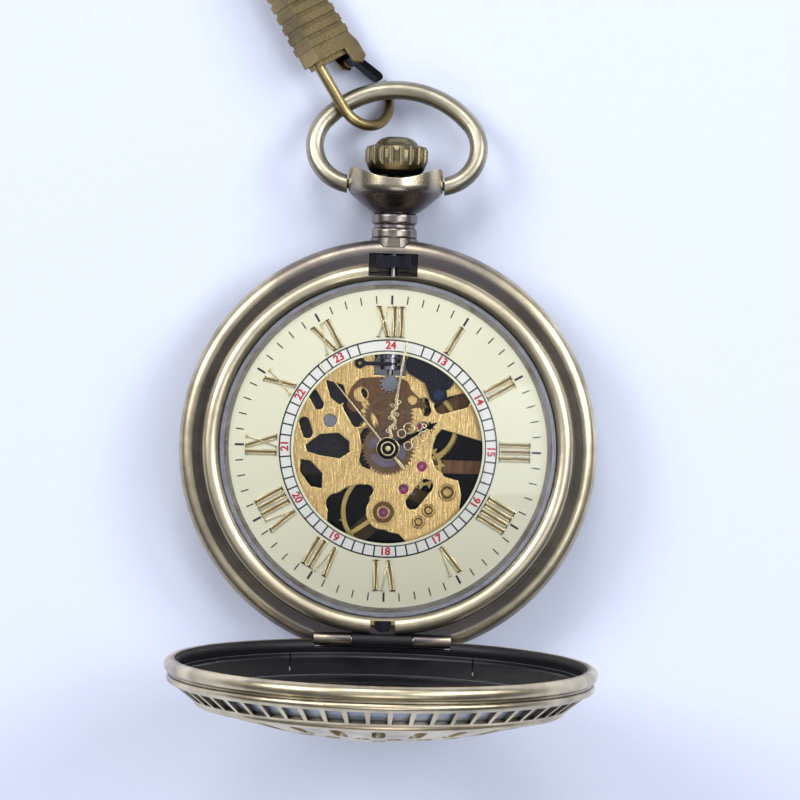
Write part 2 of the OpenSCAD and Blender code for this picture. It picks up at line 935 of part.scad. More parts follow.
// Balance rim, crossing arms and the roller with its impulse pin
module balance_wheel() {
  color("#d9bd74")
    translate([balance_at.x, balance_at.y, 0]) {
      sheet(balance_z0, balance_z1) {
        difference() {
          circle(balance_rim_r);
          circle(balance_rim_r - 0.5);
        }
        difference() {
          union() {
            rotate(35)
              translate([-4.5, -0.25])
                square([9, 0.5]);
            circle(0.7);
          }
          circle(0.2);
        }
      }
      for (i = [0 : 7])
        rotate([0, 0, 35 + 22.5 + 45 * i])
          translate([balance_rim_r - 0.05, 0, (balance_z0 + balance_z1) / 2])
            cross_rod(0.14, 0, 0.3);
    }
}

module balance_staff() {
  color("#aeb2b8") {
    translate([balance_at.x, balance_at.y, 0]) {
      disc(0.2, 2.75, 5.7);
      disc(0.85, 3.95, 4.1);
      disc(1.15, 4.1, 4.25);
      rotate([0, 0, lever_angle + 180])
        translate([roller_pin_r, 0, 0])
          disc(0.12, 4.24, 4.5);
      disc(pivot_r, 2.1, 2.8);
      disc(pivot_r, 5.65, 6.5);
    }
  }
}

// Flat hairspring, drawn as turns joined by a radial end
module hairspring() {
  color("#46536b")
    translate([balance_at.x, balance_at.y, 0])
      sheet(spring_z0, spring_z0 + 0.2) {
        for (r = [0.5 : 0.3 : 2.0])
          difference() {
            circle(r + 0.04);
            circle(r - 0.04);
          }
        difference() {
          circle(0.5);
          circle(0.2);
        }
        rotate(200)
          translate([0.5, -0.04])
            square([1.5, 0.08]);
      }
}

// ---------- movement: motion works and setting parts ----------

module minute_wheel() {
  color("#d3b36a")
    translate([minute_at.x, minute_at.y, 0]) {
      sheet(6.75, 6.95)
        wheel_outline(minute_teeth, minute_m, minute_phase, 5, 0.5, 0.9, 0.4);
      sheet(6.94, 7.3)
        polygon(gear_points(minute_pinion_teeth, hour_m, 0, 0.26));
      disc(0.1, 6.3, 6.8);
    }
}

// Hour wheel with its tube over the cannon pinion
module hour_wheel() {
  color("#c9a35a")
    difference() {
      union() {
        sheet(7.1, 7.3)
          wheel_outline(hour_teeth, hour_m, hour_phase, 3, 0.55, 1.3, 0.7);
        disc(0.85, 7.1, 8.4);
      }
      disc(0.6, 7, 9);
    }
}

module setting_wheel() {
  color("#aeb2b8")
    translate([setting_at.x, setting_at.y, 0])
      union() {
        sheet(6.75, 6.95)
          polygon(gear_points(setting_teeth, minute_m, setting_phase, 0.27));
        disc(0.33, 6.2, 6.8);
      }
}

// Stem from the movement to the crown, with the groove for the setting lever
module winding_stem() {
  color("#9aa0a8")
    difference() {
      union() {
        stem_rod(0.3, 8.25, 8.9);
        stem_rod(0.45, 8.9, 30.5);
      }
      difference() {
        stem_rod(1, 12.1, 12.5);
        stem_rod(0.28, 12, 12.6);
      }
    }
}

// Winding pinion, loose on the stem
module winding_pinion() {
  color("#aeb2b8")
    difference() {
      about_stem(10.2)
        linear_extrude(1.0)
          polygon([for (i = [0 : winding_teeth - 1], k = [0 : 3])
            let (a = 90 + 360 / winding_teeth * (i + 0.5 + [-0.24, -0.1, 0.1, 0.24][k]),
                      r = [1.2, 1.54, 1.54, 1.2][k])
            r * [cos(a), sin(a)]]);
      stem_rod(0.47, 9, 12);
    }
}

// Sliding pinion with the groove that the yoke rides in
module sliding_pinion() {
  color("#aeb2b8")
    difference() {
      stem_rod(1.1, 8.9, 10.1);
      difference() {
        stem_rod(2, 9.37, 9.67);
        stem_rod(0.75, 9, 10);
      }
      stem_rod(0.47, 8, 11);
    }
}

// Lever whose pin sits in the stem's groove
module setting_lever() {
  color("#6d7079") {
    sheet(6.78, 7.05)
      difference() {
        union() {
          bar(setting_lever_at, [0, 12.3], 0.6);
          bar(setting_lever_at, [3.1, 11.5], 0.7);
        }
        translate(setting_lever_at)
          circle(0.2);
      }
    translate([0, 12.3, 0])
      disc(0.15, stem_z + 0.33, 6.8);
  }
}

// Yoke that shifts the sliding pinion
module yoke() {
  color("#6d7079") {
    sheet(6.8, 7.05)
      difference() {
        union() {
          bar(yoke_at, [0, 9.52], 0.45);
          translate(yoke_at)
            circle(0.6);
        }
        translate(yoke_at)
          circle(0.2);
      }
    translate([0, 9.52, 0])
      disc(0.11, 6.42, 6.82);
  }
}

// Polished plate over the setting parts
module keyless_cover() {
  color("#33363f")
    difference() {
      union() {
        sheet(keyless_z, keyless_z + 0.18) {
          bar([3.0, 9.5], [5.9, 7.9], 2.6);
          bar([5.49, 6.2], [4.6, 8.6], 2.0);
          bar([-2.6, 11.6], [4.2, 10.8], 1.2);
        }
        for (p = dial_side_screws)
          translate([p.x, p.y, 0])
            disc(0.45, plate_z1, keyless_z + 0.1);
      }
      for (p = dial_side_screws)
        translate([p.x, p.y, 7])
          cylinder(r = 0.3, h = 1);
    }
}

// ---------- hands ----------

// Turns a hand drawn along +Y clockwise by an angle
module hand_at(angle, z0, z1) {
  sheet(z0, z1)
    rotate(-angle)
      children();
}

minute_angle = 8.4;
hour_angle = 30 * shown_hour;
second_angle = 6 * shown_second;

module hour_hand() {
  color("#2b2720")
    difference() {
      hand_at(hour_angle, 8.15, 8.35) {
        circle(1.15);
        bar([0, 1], [0, 2.2], 0.5);
        translate([0, 2.3])
          circle(0.42);
        bar([0, 2.4], [0.35, 3.2], 0.3);
        bar([0, 2.4], [-0.35, 3.2], 0.3);
        bar([0.35, 3.2], [0, 4.0], 0.3);
        bar([-0.35, 3.2], [0, 4.0], 0.3);
        translate([0, 4.3])
          circle(0.5);
        polygon([[-0.75, 5.0], [0, 4.6], [0.75, 5.0], [0, hour_hand_l]]);
        bar([0, 4.3], [0, 5.2], 0.4);
      }
      disc(0.86, 8, 9);
    }
}

module minute_hand() {
  swing = 0.22;                     // sideways reach of the hand's waves
  color("#d9c68c")
    difference() {
      hand_at(minute_angle, 8.55, 8.75) {
        circle(0.95);
        for (i = [0 : 5])
          bar([swing * sin(i * 90), 0.9 + i * 0.9], [swing * sin(i * 90 + 90), 1.8 + i * 0.9], 0.3);
        polygon([[-0.16, 6.2], [0.16, 6.2], [0.07, minute_hand_l], [-0.07, minute_hand_l]]);
      }
      disc(0.56, 8, 9);
    }
}

module seconds_hand() {
  color("#cdb673")
    difference() {
      union() {
        hand_at(second_angle, 8.95, 9.1) {
          circle(0.7);
          polygon([[-0.11, 0], [0.11, 0], [0.06, seconds_hand_l], [-0.06, seconds_hand_l]]);
          polygon([[-0.12, 0], [0.12, 0], [0.22, -2.95], [-0.22, -2.95]]);
        }
        disc(0.45, 8.95, 9.35);
      }
      disc(0.16, 8, 9.12);
    }
}

// ---------- front cover ----------

// Turns the closed cover about its hinge to where it stands open
module about_hinge() {
  translate([0, hinge_y, rim_z])
    rotate([cover_open, 0, 0])
      translate([0, -hinge_y, 0])
        children();
}

// Section of the cover: rim bead, groove, thin bead, slope, ring bead and dome
module cover_section() {
  dome_r = case_r - 4.2;
  sag = cover_rise - 4.9;
  sphere_r = (dome_r * dome_r + sag * sag) / (2 * sag);
  translate([case_r - 0.87, 0.78])
    circle(0.77);
  translate([case_r - 0.8, 2.15])
    circle(0.42);
  translate([case_r - 1.2, 0.05])
    square([0.5, 2.3]);
  polygon([[case_r - 0.85, 2.5], [case_r - 3.7, 4.77], [case_r - 3.98, 4.42], [case_r - 1.13, 2.15]]);
  translate([case_r - 3.9, 4.55])
    circle(0.5);
  intersection() {
    difference() {
      translate([0, cover_rise - sphere_r])
        circle(sphere_r, $fn = 256);
      translate([0, cover_rise - sphere_r])
        circle(sphere_r - 0.7, $fn = 256);
    }
    translate([0, 3])
      square([dome_r + 0.2, 6]);
  }
}

// Ring of equal openings in the dome
module petal_ring(count, r, d, turn = 0) {
  for (i = [0 : count - 1])
    rotate(turn + 360 * i / count)
      translate([r, 0])
        circle(d = d);
}

// Openwork of the dome: a rosette of round and long openings
module rosette() {
  circle(1.1);
  for (i = [0 : 11])
    rotate(30 * i)
      bar([2.4, 0], [5.3, 0], 1.0);
  petal_ring(12, 7.3, 1.9, 15);
  for (i = [0 : 11])
    rotate(30 * i)
      bar([7.6, 0], [10.4, 0], 1.5);
  petal_ring(24, 12.6, 1.7, 7.5);
  for (i = [0 : 23])
    rotate(15 * i)
      bar([14.6, 0], [17.2, 0], 1.4);
}

module front_cover() {
  color("#867c69")
    about_hinge()
      difference() {
        union() {
          difference() {
            rotate_extrude()
              cover_section();
            for (i = [0 : cover_windows - 1])
              rotate([0, 0, 360 * (i + 0.5) / cover_windows])
                translate([case_r - 2.3, 0, 3.3])
                  rotate([0, 38, 0])
                    cube([2.3, 1.8, 3], center = true);
            translate([0, 0, 2])
              linear_extrude(8)
                rosette();
            block([-knuckle_out - 0.15, -case_r - 1, -1], [knuckle_out + 0.15, -case_r + 3, 0.95]);
          }
          translate([0, hinge_y, 0])
            cross_rod(knuckle_r, -knuckle_in + 0.1, knuckle_in - 0.1);
          block([-knuckle_in + 0.1, hinge_y - 1.4, 0.1], [knuckle_in - 0.1, hinge_y, 0.74]);
          block([-knuckle_in + 0.1, hinge_y - 1.5, 0.1], [knuckle_in - 0.1, hinge_y - 0.8, 1.2]);
          intersection() {
            ring(case_r - 1.15, case_r - 2.05, 0.15, 0.45);
            block([-1.6, 0, 0], [1.6, case_r, 1]);
          }
        }
        translate([0, hinge_y, 0])
          cross_rod(pin_r + 0.05, -9, 9);
      }
}

// Dark tray that lines the cover: a wall, a sloped band behind the windows and a flat rim
module cover_lining() {
  slit = 0.15;
  color("#1d1d22")
    about_hinge()
      difference() {
        rotate_extrude()
          polygon([[22.2, 1.55], [22.2, 2.0], [22.05, 2.32], [19.95, 4.0], [19.1, 4.0], [18.9, 4.2],
            [17.5, 4.65], [17.5, 4.35], [18.75, 3.9], [19.05, 3.7], [19.8, 3.7], [21.85, 2.08], [21.95, 1.9],
            [21.95, 1.55]]);
        for (side = [-1, 1])
          block([side * 10.2 - slit / 2, -case_r, 0], [side * 10.2 + slit / 2, -15, 3.3]);
      }
}

module hinge_pin() {
  color("#b99f62")
    translate([0, hinge_y, rim_z])
      cross_rod(pin_r, -knuckle_out, knuckle_out);
}

// Flat spring tongue that lifts the cover
module lift_spring() {
  half_w = 0.95;
  root_y = spring_root - 0.05;
  color("#5b5d62")
    sheet(seat_z + 0.02, seat_z + 0.3) {
      intersection() {
        translate([0, root_y - 0.35])
          circle(half_w);
        translate([-half_w, root_y - 2])
          square([2 * half_w, 2]);
      }
      translate([-half_w, root_y - 0.35])
        square([2 * half_w, 0.35]);
    }
}

// Sliding catch; its arched hook holds the cover's lip
module cover_catch() {
  arch_r = 2.44;
  color("#5b5650")
    difference() {
      union() {
        block([-1.95, 20.3, 4.2], [1.95, 21.75, 8.1]);
        block([-1.95, 20.3, 8.09], [1.95, 21.35, 8.7]);
        sheet(8.69, 9.1)
          intersection() {
            translate([0, 21.7 - arch_r])
              circle(arch_r);
            translate([-2.1, 20.3])
              square([4.2, 2]);
          }
      }
      stem_rod(0.75, 19, 23);
      block([-1.2, 20.8, 6.6], [1.2, 23, 8.5]);
    }
}

// ---------- pendant, crown and bow ----------

// Neck with two flat beads, and a bowl-shaped head with a cup for the crown
module pendant() {
  saddle_r = 8.2;                   // radius of the hollow across the head's top
  saddle_low = 30.3;
  color("#8d8474")
    difference() {
      about_stem()
        rotate_extrude()
          union() {
            translate([1.0, case_r - 0.85])
              square([1.3, 28 - case_r]);
            translate([1.0, case_r - 0.85])
              square([1.65, 1.0]);
            neck_bead(24.2);
            neck_bead(25.85);
            polygon([[1.0, 26.6], [2.6, 26.6], [3.4, 27.15], [4.98, 28.52], [4.98, 29.6], [1.0, 29.6]]);
            intersection() {
              translate([4.0, 29.6])
                circle(1.45);
              translate([3, 28])
                square([3, 1.6]);
            }
            translate([3.9, 29.5])
              square([1.55, 2.0]);
            translate([1.0, 29.5])
              square([3, 0.55]);
          }
      translate([0, saddle_low + saddle_r, 0])
        cylinder(r = saddle_r, h = 20);
      for (side = [-1, 1])
        translate([side * 8.3, 29, stem_z])
          cube([6, 10, 12], center = true);
      stem_rod(1.05, 22, 31);
      for (side = [0, 1])
        translate([0, bow_pivot_y, stem_z])
          rotate([0, 0, 180 * side])
            cross_rod(bow_pin_r + 0.05, 4.4, 7);
      block([-3, 22, band_top], [3, 23.6, 10]);
    }
}

// Section of a neck bead: a band with rounded corners
module neck_bead(y) {
  translate([1.0, y - 0.72])
    square([1.2, 1.44]);
  for (side = [-1, 1])
    translate([2.1, y + side * 0.27])
      circle(0.45);
  translate([2.1, y - 0.27])
    square([0.45, 0.54]);
}

module crown() {
  color("#8a7a52")
    difference() {
      union() {
        about_stem()
          rotate_extrude()
            polygon([[0, 30.75], [2.55, 30.75], [3.1, 31.35], [3.5, 32.3], [3.55, 32.7], [3.55, 33.55],
              [3.35, 34.0], [2.45, 34.25], [2.25, 34.5], [1.85, 34.85], [1.2, 35.1], [0, 35.2]]);
        stem_rod(1.0, 21.9, 30.8);
      }
      for (i = [0 : crown_flutes - 1])
        about_stem()
          rotate([0, 0, 360 * (i + 0.5) / crown_flutes])
            translate([3.7, 0, 31.0])
              cylinder(r = 0.37, h = 4);
      stem_rod(0.5, 21, 31.2);
    }
}

// Shapes drawn in the bow's own plane, with the pivot at the origin
module in_bow_plane() {
  translate([0, bow_pivot_y, stem_z])
    rotate([-bow_tilt, 0, 0])
      children();
}

// Part of a wire ring between two angles
module wire_arc(at, r, a0, a1, wire_r) {
  translate(concat(at, 0))
    rotate([0, 0, a0])
      rotate_extrude(angle = a1 - a0)
        translate([r, 0])
          circle(wire_r);
}

module bow() {
  side_wire_r = bow_wire_r - 0.03;  // the side arcs end just inside the top arc's ends
  color("#9b8f78")
    in_bow_plane() {
      difference() {
        union() {
          wire_arc([0, bow_top_y], bow_top_r, bow_join, 180 - bow_join, bow_wire_r);
          wire_arc([bow_side_x, bow_side_y], bow_side_r, bow_end - 12, bow_join + bow_lap, side_wire_r);
          wire_arc([-bow_side_x, bow_side_y], bow_side_r, 180 - bow_join - bow_lap, 192 - bow_end,
            side_wire_r);
        }
        block([-bow_face_x, -3, -3], [bow_face_x, 3, 3]);
      }
      cross_rod(bow_pin_r, 4.6, bow_face_x + 0.6);
      cross_rod(bow_pin_r, -bow_face_x - 0.6, -4.6);
    }
}

// ---------- clip ----------

// Shapes drawn in the clip's own frame
module in_clip() {
  translate(clip_at)
    rotate([0, clip_roll, clip_turn])
      children();
}

// Hook of round wire with the two lugs that hold the gate
module clip_hook() {
  color("#7c6434")
    in_clip()
      difference() {
        union() {
          translate([hook_x - hook_r, hook_y, 0])
            rotate([-90, 0, 0])
              cylinder(r = hook_wire_r, h = 0.5 - hook_y);
          wire_arc([hook_x, hook_y], hook_r, 180, 368, hook_wire_r);
          block([-2.7, -0.1, -1.1], [2.75, 0.55, 1.1]);
          sheet(-1.0, 1.0)
            translate(gate_at)
              circle(0.85);
        }
        sheet(-0.5, 0.5) {
          translate(gate_at)
            circle(1.1);
          bar(gate_at, gate_at + [1.8, -3.2], 1.2);
        }
        translate(concat(gate_at, 0))
          disc(pin_r, -2, 2);
      }
}

// Spring gate that closes the hook
module clip_gate() {
  color("#4b4a45")
    in_clip()
      difference() {
        sheet(-0.45, 0.45) {
          translate(gate_at)
            circle(0.75);
          bar(gate_at, gate_tip + [-0.15, 0.95], 1.0);
        }
        translate(concat(gate_at, 0))
          disc(pin_r + 0.05, -2, 2);
      }
}

module gate_pin() {
  color("#8c7a4d")
    in_clip()
      translate(concat(gate_at, 0))
        disc(pin_r, -1.1, 1.1);
}

// Flat tapered sleeve with raised ribs
module clip_sleeve() {
  low_w = 3.1;
  high_w = 2.2;
  rib_step = (sleeve_l - 3) / sleeve_ribs;
  color("#84693a")
    in_clip()
      difference() {
        union() {
          sheet(-1.4, 1.4)
            polygon([[-low_w, 0.5], [1.3, 0.5], [1.7, -1.3], [2.7, -1.85], [3.6, -1.3], [3.6, 0.6],
              [low_w, 1.9], [high_w, sleeve_l], [-high_w, sleeve_l]]);
          for (i = [0 : sleeve_ribs - 1])
            let (y = 2.2 + i * rib_step, w = low_w - (low_w - high_w) * y / sleeve_l + 0.12)
              sheet(-1.6, 1.6)
                translate([-w, y])
                  square([2 * w, rib_step * 0.62]);
        }
        translate([0, sleeve_l - 3, 0])
          rotate([-90, 0, 0])
            cylinder(r = 0.9, h = 4);
        block([-2.75, -1, -1.15], [2.8, 0.6, 1.15]);
        block([1.2, -2.5, -1.15], [4, 0.3, 1.15]);
      }
}

// Swivel with a drilled eye for the chain
module clip_swivel() {
  eye_y = sleeve_l + 3.9;
  color("#84693a")
    in_clip()
      difference() {
        union() {
          translate([0, sleeve_l - 2.6, 0])
            rotate([-90, 0, 0])
              cylinder(r = 0.82, h = 4.2);
          translate([0, sleeve_l + 0.1, 0])
            rotate([-90, 0, 0])
              cylinder(r = 1.5, h = 0.7);
          translate([0, eye_y, 0])
            disc(2.7, -0.85, 0.85);
        }
        translate([0, eye_y, 0])
          disc(1.5, -3, 3);
      }
}

mid_case();
pendant();
front_bezel();
front_crystal();
crystal_ring();
back_bezel();
back_crystal();
movement_ring();
dial();
hour_numerals();
main_plate();
plate_jewels();
barrel_bridge();
train_bridge();
balance_cock();
pallet_cock();
bridge_jewels();
movement_screws();
barrel();
mainspring();
barrel_arbor();
ratchet_wheel();
ratchet_screw();
crown_wheel();
click();
click_spring();
centre_wheel();
cannon_pinion();
third_wheel();
fourth_wheel();
escape_wheel();
pallet_fork();
pallet_stones();
balance_wheel();
balance_staff();
hairspring();
minute_wheel();
hour_wheel();
setting_wheel();
winding_stem();
crown();
winding_pinion();
sliding_pinion();
setting_lever();
yoke();
keyless_cover();
hour_hand();
minute_hand();
seconds_hand();
front_cover();
cover_lining();
hinge_pin();
lift_spring();
cover_catch();
bow();
clip_hook();
clip_sleeve();
clip_gate();
gate_pin();
clip_swivel();
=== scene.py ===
"""Looks of the skeleton pocket watch: materials, dial printing, numerals, hands, light and camera."""

import math

import bmesh
import bpy
from mathutils import Matrix, Vector


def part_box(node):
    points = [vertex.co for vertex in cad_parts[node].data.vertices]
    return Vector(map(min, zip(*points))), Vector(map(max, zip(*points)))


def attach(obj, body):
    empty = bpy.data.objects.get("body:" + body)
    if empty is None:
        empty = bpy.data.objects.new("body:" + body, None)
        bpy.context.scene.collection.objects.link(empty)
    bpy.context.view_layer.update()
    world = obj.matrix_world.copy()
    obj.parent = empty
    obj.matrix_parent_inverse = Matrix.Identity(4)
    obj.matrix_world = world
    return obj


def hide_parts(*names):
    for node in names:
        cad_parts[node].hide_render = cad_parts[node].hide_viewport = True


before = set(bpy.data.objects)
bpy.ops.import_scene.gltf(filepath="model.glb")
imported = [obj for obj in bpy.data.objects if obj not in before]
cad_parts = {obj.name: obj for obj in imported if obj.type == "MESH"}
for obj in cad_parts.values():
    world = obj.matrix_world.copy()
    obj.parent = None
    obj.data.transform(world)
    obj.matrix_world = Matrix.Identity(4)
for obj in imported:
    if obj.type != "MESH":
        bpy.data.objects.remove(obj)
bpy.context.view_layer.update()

MM = 0.001
COVER_OPEN = math.radians(93.3)
COVER_RADIUS = 21.5
HINGE = Vector((0, -COVER_RADIUS * MM, 8.2 * MM))
BARREL_AT = (-6.6, 2.95)
BALANCE_AT = (-0.31, -7.21)

BRONZE = dict(light=(0.86, 0.73, 0.49), mid=(0.42, 0.36, 0.25), dark=(0.016, 0.015, 0.020))
BRASS_DARK = (0.012, 0.010, 0.010)
# Tint of the smoky darkening; on the case towards 6 o'clock it is painted shade.
DARKENING_TINT = (0.15, 0.13, 0.15)
# Painted shade colour of the open cover's inner side and of its lining.
COVER_INSIDE_SHADE = (0.004, 0.004, 0.007)
UNLIT_TOP = (0.012, 0.009, 0.008)
RIM_POLISH = (0.12, 0.12, 0.12)

MOTTLE_SCALE = 190.0
RING_SCALE = 9.0
EDGE_ROUND = 0.06
RAY_SAMPLES = 6


# ---------------------------------------------------------------- shader helpers

MIX_FACTOR, MIX_A, MIX_B, MIX_RESULT = 0, 6, 7, 2


class Shader:
    """A node material that is put together in code."""

    def __init__(self, name):
        self.material = bpy.data.materials.new(name)
        self.material.use_nodes = True
        self.tree = self.material.node_tree
        self.tree.nodes.clear()
        self.output = self.add("ShaderNodeOutputMaterial")
        self.skin = self.add("ShaderNodeBsdfPrincipled")
        self.join(self.skin.outputs[0], self.output.inputs["Surface"])
        self.place = self.add("ShaderNodeTexCoord").outputs["Object"]

    def add(self, kind, settings=None, **inputs):
        """A node, with its settings and its inputs given as values or as sockets."""
        node = self.tree.nodes.new(kind)
        for key, value in (settings or {}).items():
            setattr(node, key, value)
        for key, value in inputs.items():
            self.feed(node.inputs[key.replace("_", " ")], value)
        return node

    def feed(self, socket, value):
        """Sets an input to a value, or links it to a socket."""
        if isinstance(value, bpy.types.NodeSocket):
            self.join(value, socket)
        elif hasattr(socket.default_value, "__len__") and len(value) < len(socket.default_value):
            socket.default_value = (*value, 1)
        else:
            socket.default_value = value

    def join(self, source, target):
        """Links an output to an input."""
        self.tree.links.new(source, target)

    def math(self, operation, *values):
        """The result of one Math node."""
        node = self.tree.nodes.new("ShaderNodeMath")
        node.operation = operation
        for socket, value in zip(node.inputs, values):
            self.feed(socket, value)
        return node.outputs[0]

    def clamp(self, value, low, high, to_low=0.0, to_high=1.0):
        """A value mapped from low..high to to_low..to_high, and held inside that range."""
        node = self.add("ShaderNodeMapRange", {"clamp": True}, Value=value, From_Min=low, From_Max=high,
                        To_Min=to_low, To_Max=to_high)
        return node.outputs[0]

    def mix(self, factor, a, b):
        """Colour a where the factor is 0, and colour b where it is 1."""
        node = self.tree.nodes.new("ShaderNodeMix")
        node.data_type = "RGBA"
        self.feed(node.inputs[MIX_FACTOR], factor)
        self.feed(node.inputs[MIX_A], a)
        self.feed(node.inputs[MIX_B], b)
        return node.outputs[MIX_RESULT]

    def vector(self, x, y, z):
        """Three values combined into a vector."""
        node = self.tree.nodes.new("ShaderNodeCombineXYZ")
        for socket, value in zip(node.inputs, (x, y, z)):
            self.feed(socket, value)
        return node.outputs[0]

    def split(self, vector):
        """The x, y and z outputs of a vector."""
        return self.add("ShaderNodeSeparateXYZ", Vector=vector).outputs

    def noise(self, vector, scale, detail, roughness):
        """Fractal noise between 0 and 1."""
        node = self.add("ShaderNodeTexNoise", Vector=vector, Scale=scale, Detail=detail, Roughness=roughness)
        return node.outputs["Fac"]

    def stretched(self, sx, sy, sz, turn=0.0):
        """Object coordinates scaled by axis, for brushed grain."""
        node = self.add("ShaderNodeMapping", Vector=self.place)
        node.inputs["Scale"].default_value = (sx, sy, sz)
        node.inputs["Rotation"].default_value = (0, 0, math.radians(turn))
        return node.outputs[0]

    def around(self, centre=(0, 0), along=0.6):
        """Coordinates that run round a vertical axis, for turned and circular-brushed metal."""
        x, y, z = self.split(self.place)
        dx = self.math("SUBTRACT", x, centre[0] * MM)
        dy = self.math("SUBTRACT", y, centre[1] * MM)
        return self.polar(dx, dy, z, along)

    def polar(self, x, y, z, along=0.6):
        """Radius and height in millimetres, and the angle scaled by along."""
        x_squared = self.math("MULTIPLY", x, x)
        y_squared = self.math("MULTIPLY", y, y)
        radius = self.math("SQRT", self.math("ADD", x_squared, y_squared))
        angle = self.math("ARCTAN2", y, x)
        return self.vector(self.math("MULTIPLY", radius, 1 / MM), self.math("MULTIPLY", z, 1 / MM),
                           self.math("MULTIPLY", angle, along))

    def corners(self, reach):
        """Ambient occlusion within that many millimetres: low in corners and grooves."""
        node = self.add("ShaderNodeAmbientOcclusion", {"samples": RAY_SAMPLES}, Distance=reach * MM)
        return node.outputs["AO"]

    def facing(self):
        """The object-space normal, as x, y and z."""
        return self.split(self.add("ShaderNodeTexCoord").outputs["Normal"])

    def bump(self, height, strength, distance):
        """A Bump node for a relief that many millimetres deep."""
        return self.add("ShaderNodeBump", Height=height, Strength=strength, Distance=distance * MM)

    def rounded(self, radius):
        """The normal with sharp edges rounded, and how far it leans from the true one."""
        normal = self.add("ShaderNodeBevel", {"samples": RAY_SAMPLES}, Radius=radius * MM).outputs[0]
        true = self.add("ShaderNodeNewGeometry").outputs["True Normal"]
        dot = self.add("ShaderNodeVectorMath", {"operation": "DOT_PRODUCT"})
        self.join(normal, dot.inputs[0])
        self.join(true, dot.inputs[1])
        return normal, self.clamp(dot.outputs["Value"], 0.99, 0.86)

    def finish(self, colour, roughness, metallic=0.0, bump=None, edge=0.0, normal=None, **extra):
        """Plugs the looks into the surface; edge rounds sharp corners by that many millimetres."""
        self.feed(self.skin.inputs["Base Color"], colour)
        self.feed(self.skin.inputs["Roughness"], roughness)
        self.feed(self.skin.inputs["Metallic"], metallic)
        if edge:
            normal = self.rounded(edge)[0]
        if bump:
            if normal:
                self.join(normal, bump.inputs["Normal"])
            normal = bump.outputs[0]
        if normal:
            self.join(normal, self.skin.inputs["Normal"])
        for key, value in extra.items():
            self.feed(self.skin.inputs[key.replace("_", " ")], value)
        return self.material


# ---------------------------------------------------------------- metals

def turned_metal(name, light, mid, dark, roughness, grain=0.25, wear=0.35, groove_shade=None, darkening_reach=None):
    """Antique metal with fine rings round the watch's axis and dark patina.

    Patina lies in corners and in specks. Faces that look towards the hinge get a painted dark reflection of
    the open cover. A groove_shade is a pair of radii between which painted shade is darkest. A
    darkening_reach is a pair of distances from the axis, along 12 to 6 o'clock, from the first of which to
    the second a smoky tint grows; on the case towards 6 o'clock it is painted shade of the open cover.
    """
    s = Shader(name)
    rings = s.noise(s.around(), RING_SCALE, 4.0, 0.7)
    cloud = s.noise(s.place, MOTTLE_SCALE, 3.0, 0.55)
    specks = s.noise(s.place, 2600.0, 2.0, 0.6)
    tone = s.mix(s.clamp(cloud, 0.35, 0.68), mid, light)
    tone = s.mix(s.clamp(specks, 0.64, 0.78, 0.0, wear), tone, dark)
    tone = s.mix(s.clamp(s.corners(2.2), 0.2, 0.85, 0.96, 0.0), tone, dark)
    # Painted shade: a dark band in the groove between the case and the bezel.
    if groove_shade:
        inner, outer = groove_shade
        radius = s.split(s.around())[0]
        past_inner = s.clamp(radius, inner - 0.25, inner + 0.2)
        before_outer = s.clamp(radius, outer + 0.35, outer - 0.1)
        band = s.math("MULTIPLY", past_inner, before_outer)
        tone = s.mix(s.math("MULTIPLY", band, 0.85), tone, dark)
    # Smoky darkening along 12 to 6 o'clock; on the case, towards 6 o'clock, it is painted shade and dark
    # reflection of the open cover.
    if darkening_reach:
        reach = s.math("MULTIPLY", s.math("ABSOLUTE", s.split(s.place)[1]), 1 / MM)
        darkening = s.math("MULTIPLY", s.clamp(reach, *darkening_reach), s.clamp(cloud, 0.25, 0.7, 0.95, 0.6))
        tone = s.mix(darkening, tone, DARKENING_TINT)
    # Painted dark reflection and shade of the open cover, on faces that look towards the hinge.
    painted_cover_reflection = s.math("MULTIPLY", s.clamp(s.facing()[1], -0.1, -0.75), s.clamp(cloud, 0.3, 0.6, 0.6, 0.9))
    tone = s.mix(s.math("MULTIPLY", painted_cover_reflection, 0.8), tone, dark)
    rough = s.math("ADD", s.clamp(rings, 0.3, 0.7, roughness - 0.06, roughness + 0.1),
                   s.clamp(cloud, 0.3, 0.7, 0.05, -0.04))
    return s.finish(tone, rough, 1.0, s.bump(rings, grain, 0.012), EDGE_ROUND)


def brushed_metal(name, light, dark, roughness, turn=0.0, grain=0.5, edge=0.05, stretch=(2400, 130, 300),
                  dim_top=0.0):
    """Straight-brushed metal with polished edges that carry a painted highlight; dim_top darkens faces that
    look up.
    """
    s = Shader(name)
    lines = s.noise(s.stretched(*stretch, turn), 1.0, 4.0, 0.75)
    cloud = s.noise(s.place, 260.0, 2.0, 0.5)
    normal, rim_polish_and_highlight = s.rounded(edge)
    tone = s.mix(s.clamp(lines, 0.3, 0.7), dark, light)
    tone = s.mix(s.clamp(cloud, 0.45, 0.8, 0.0, 0.35), tone, dark)
    # Painted shade in corners.
    tone = s.mix(s.clamp(s.corners(0.5), 0.1, 0.7, 0.55, 0.0), tone, tuple(0.25 * c for c in dark))
    # Painted highlight: rounded rims are made lighter in colour, and polished.
    tone = s.mix(s.math("MULTIPLY", rim_polish_and_highlight, 0.8), tone, tuple(min(1, 1.15 * c) for c in light))
    if dim_top:
        tone = s.mix(s.clamp(s.facing()[2], 0.5, 0.8, 0.0, dim_top), tone, UNLIT_TOP)
    rough = s.mix(rim_polish_and_highlight, s.clamp(lines, 0.25, 0.75, roughness + 0.1, roughness - 0.08), RIM_POLISH)
    return s.finish(tone, rough, 1.0, s.bump(lines, grain, 0.015), normal=normal)


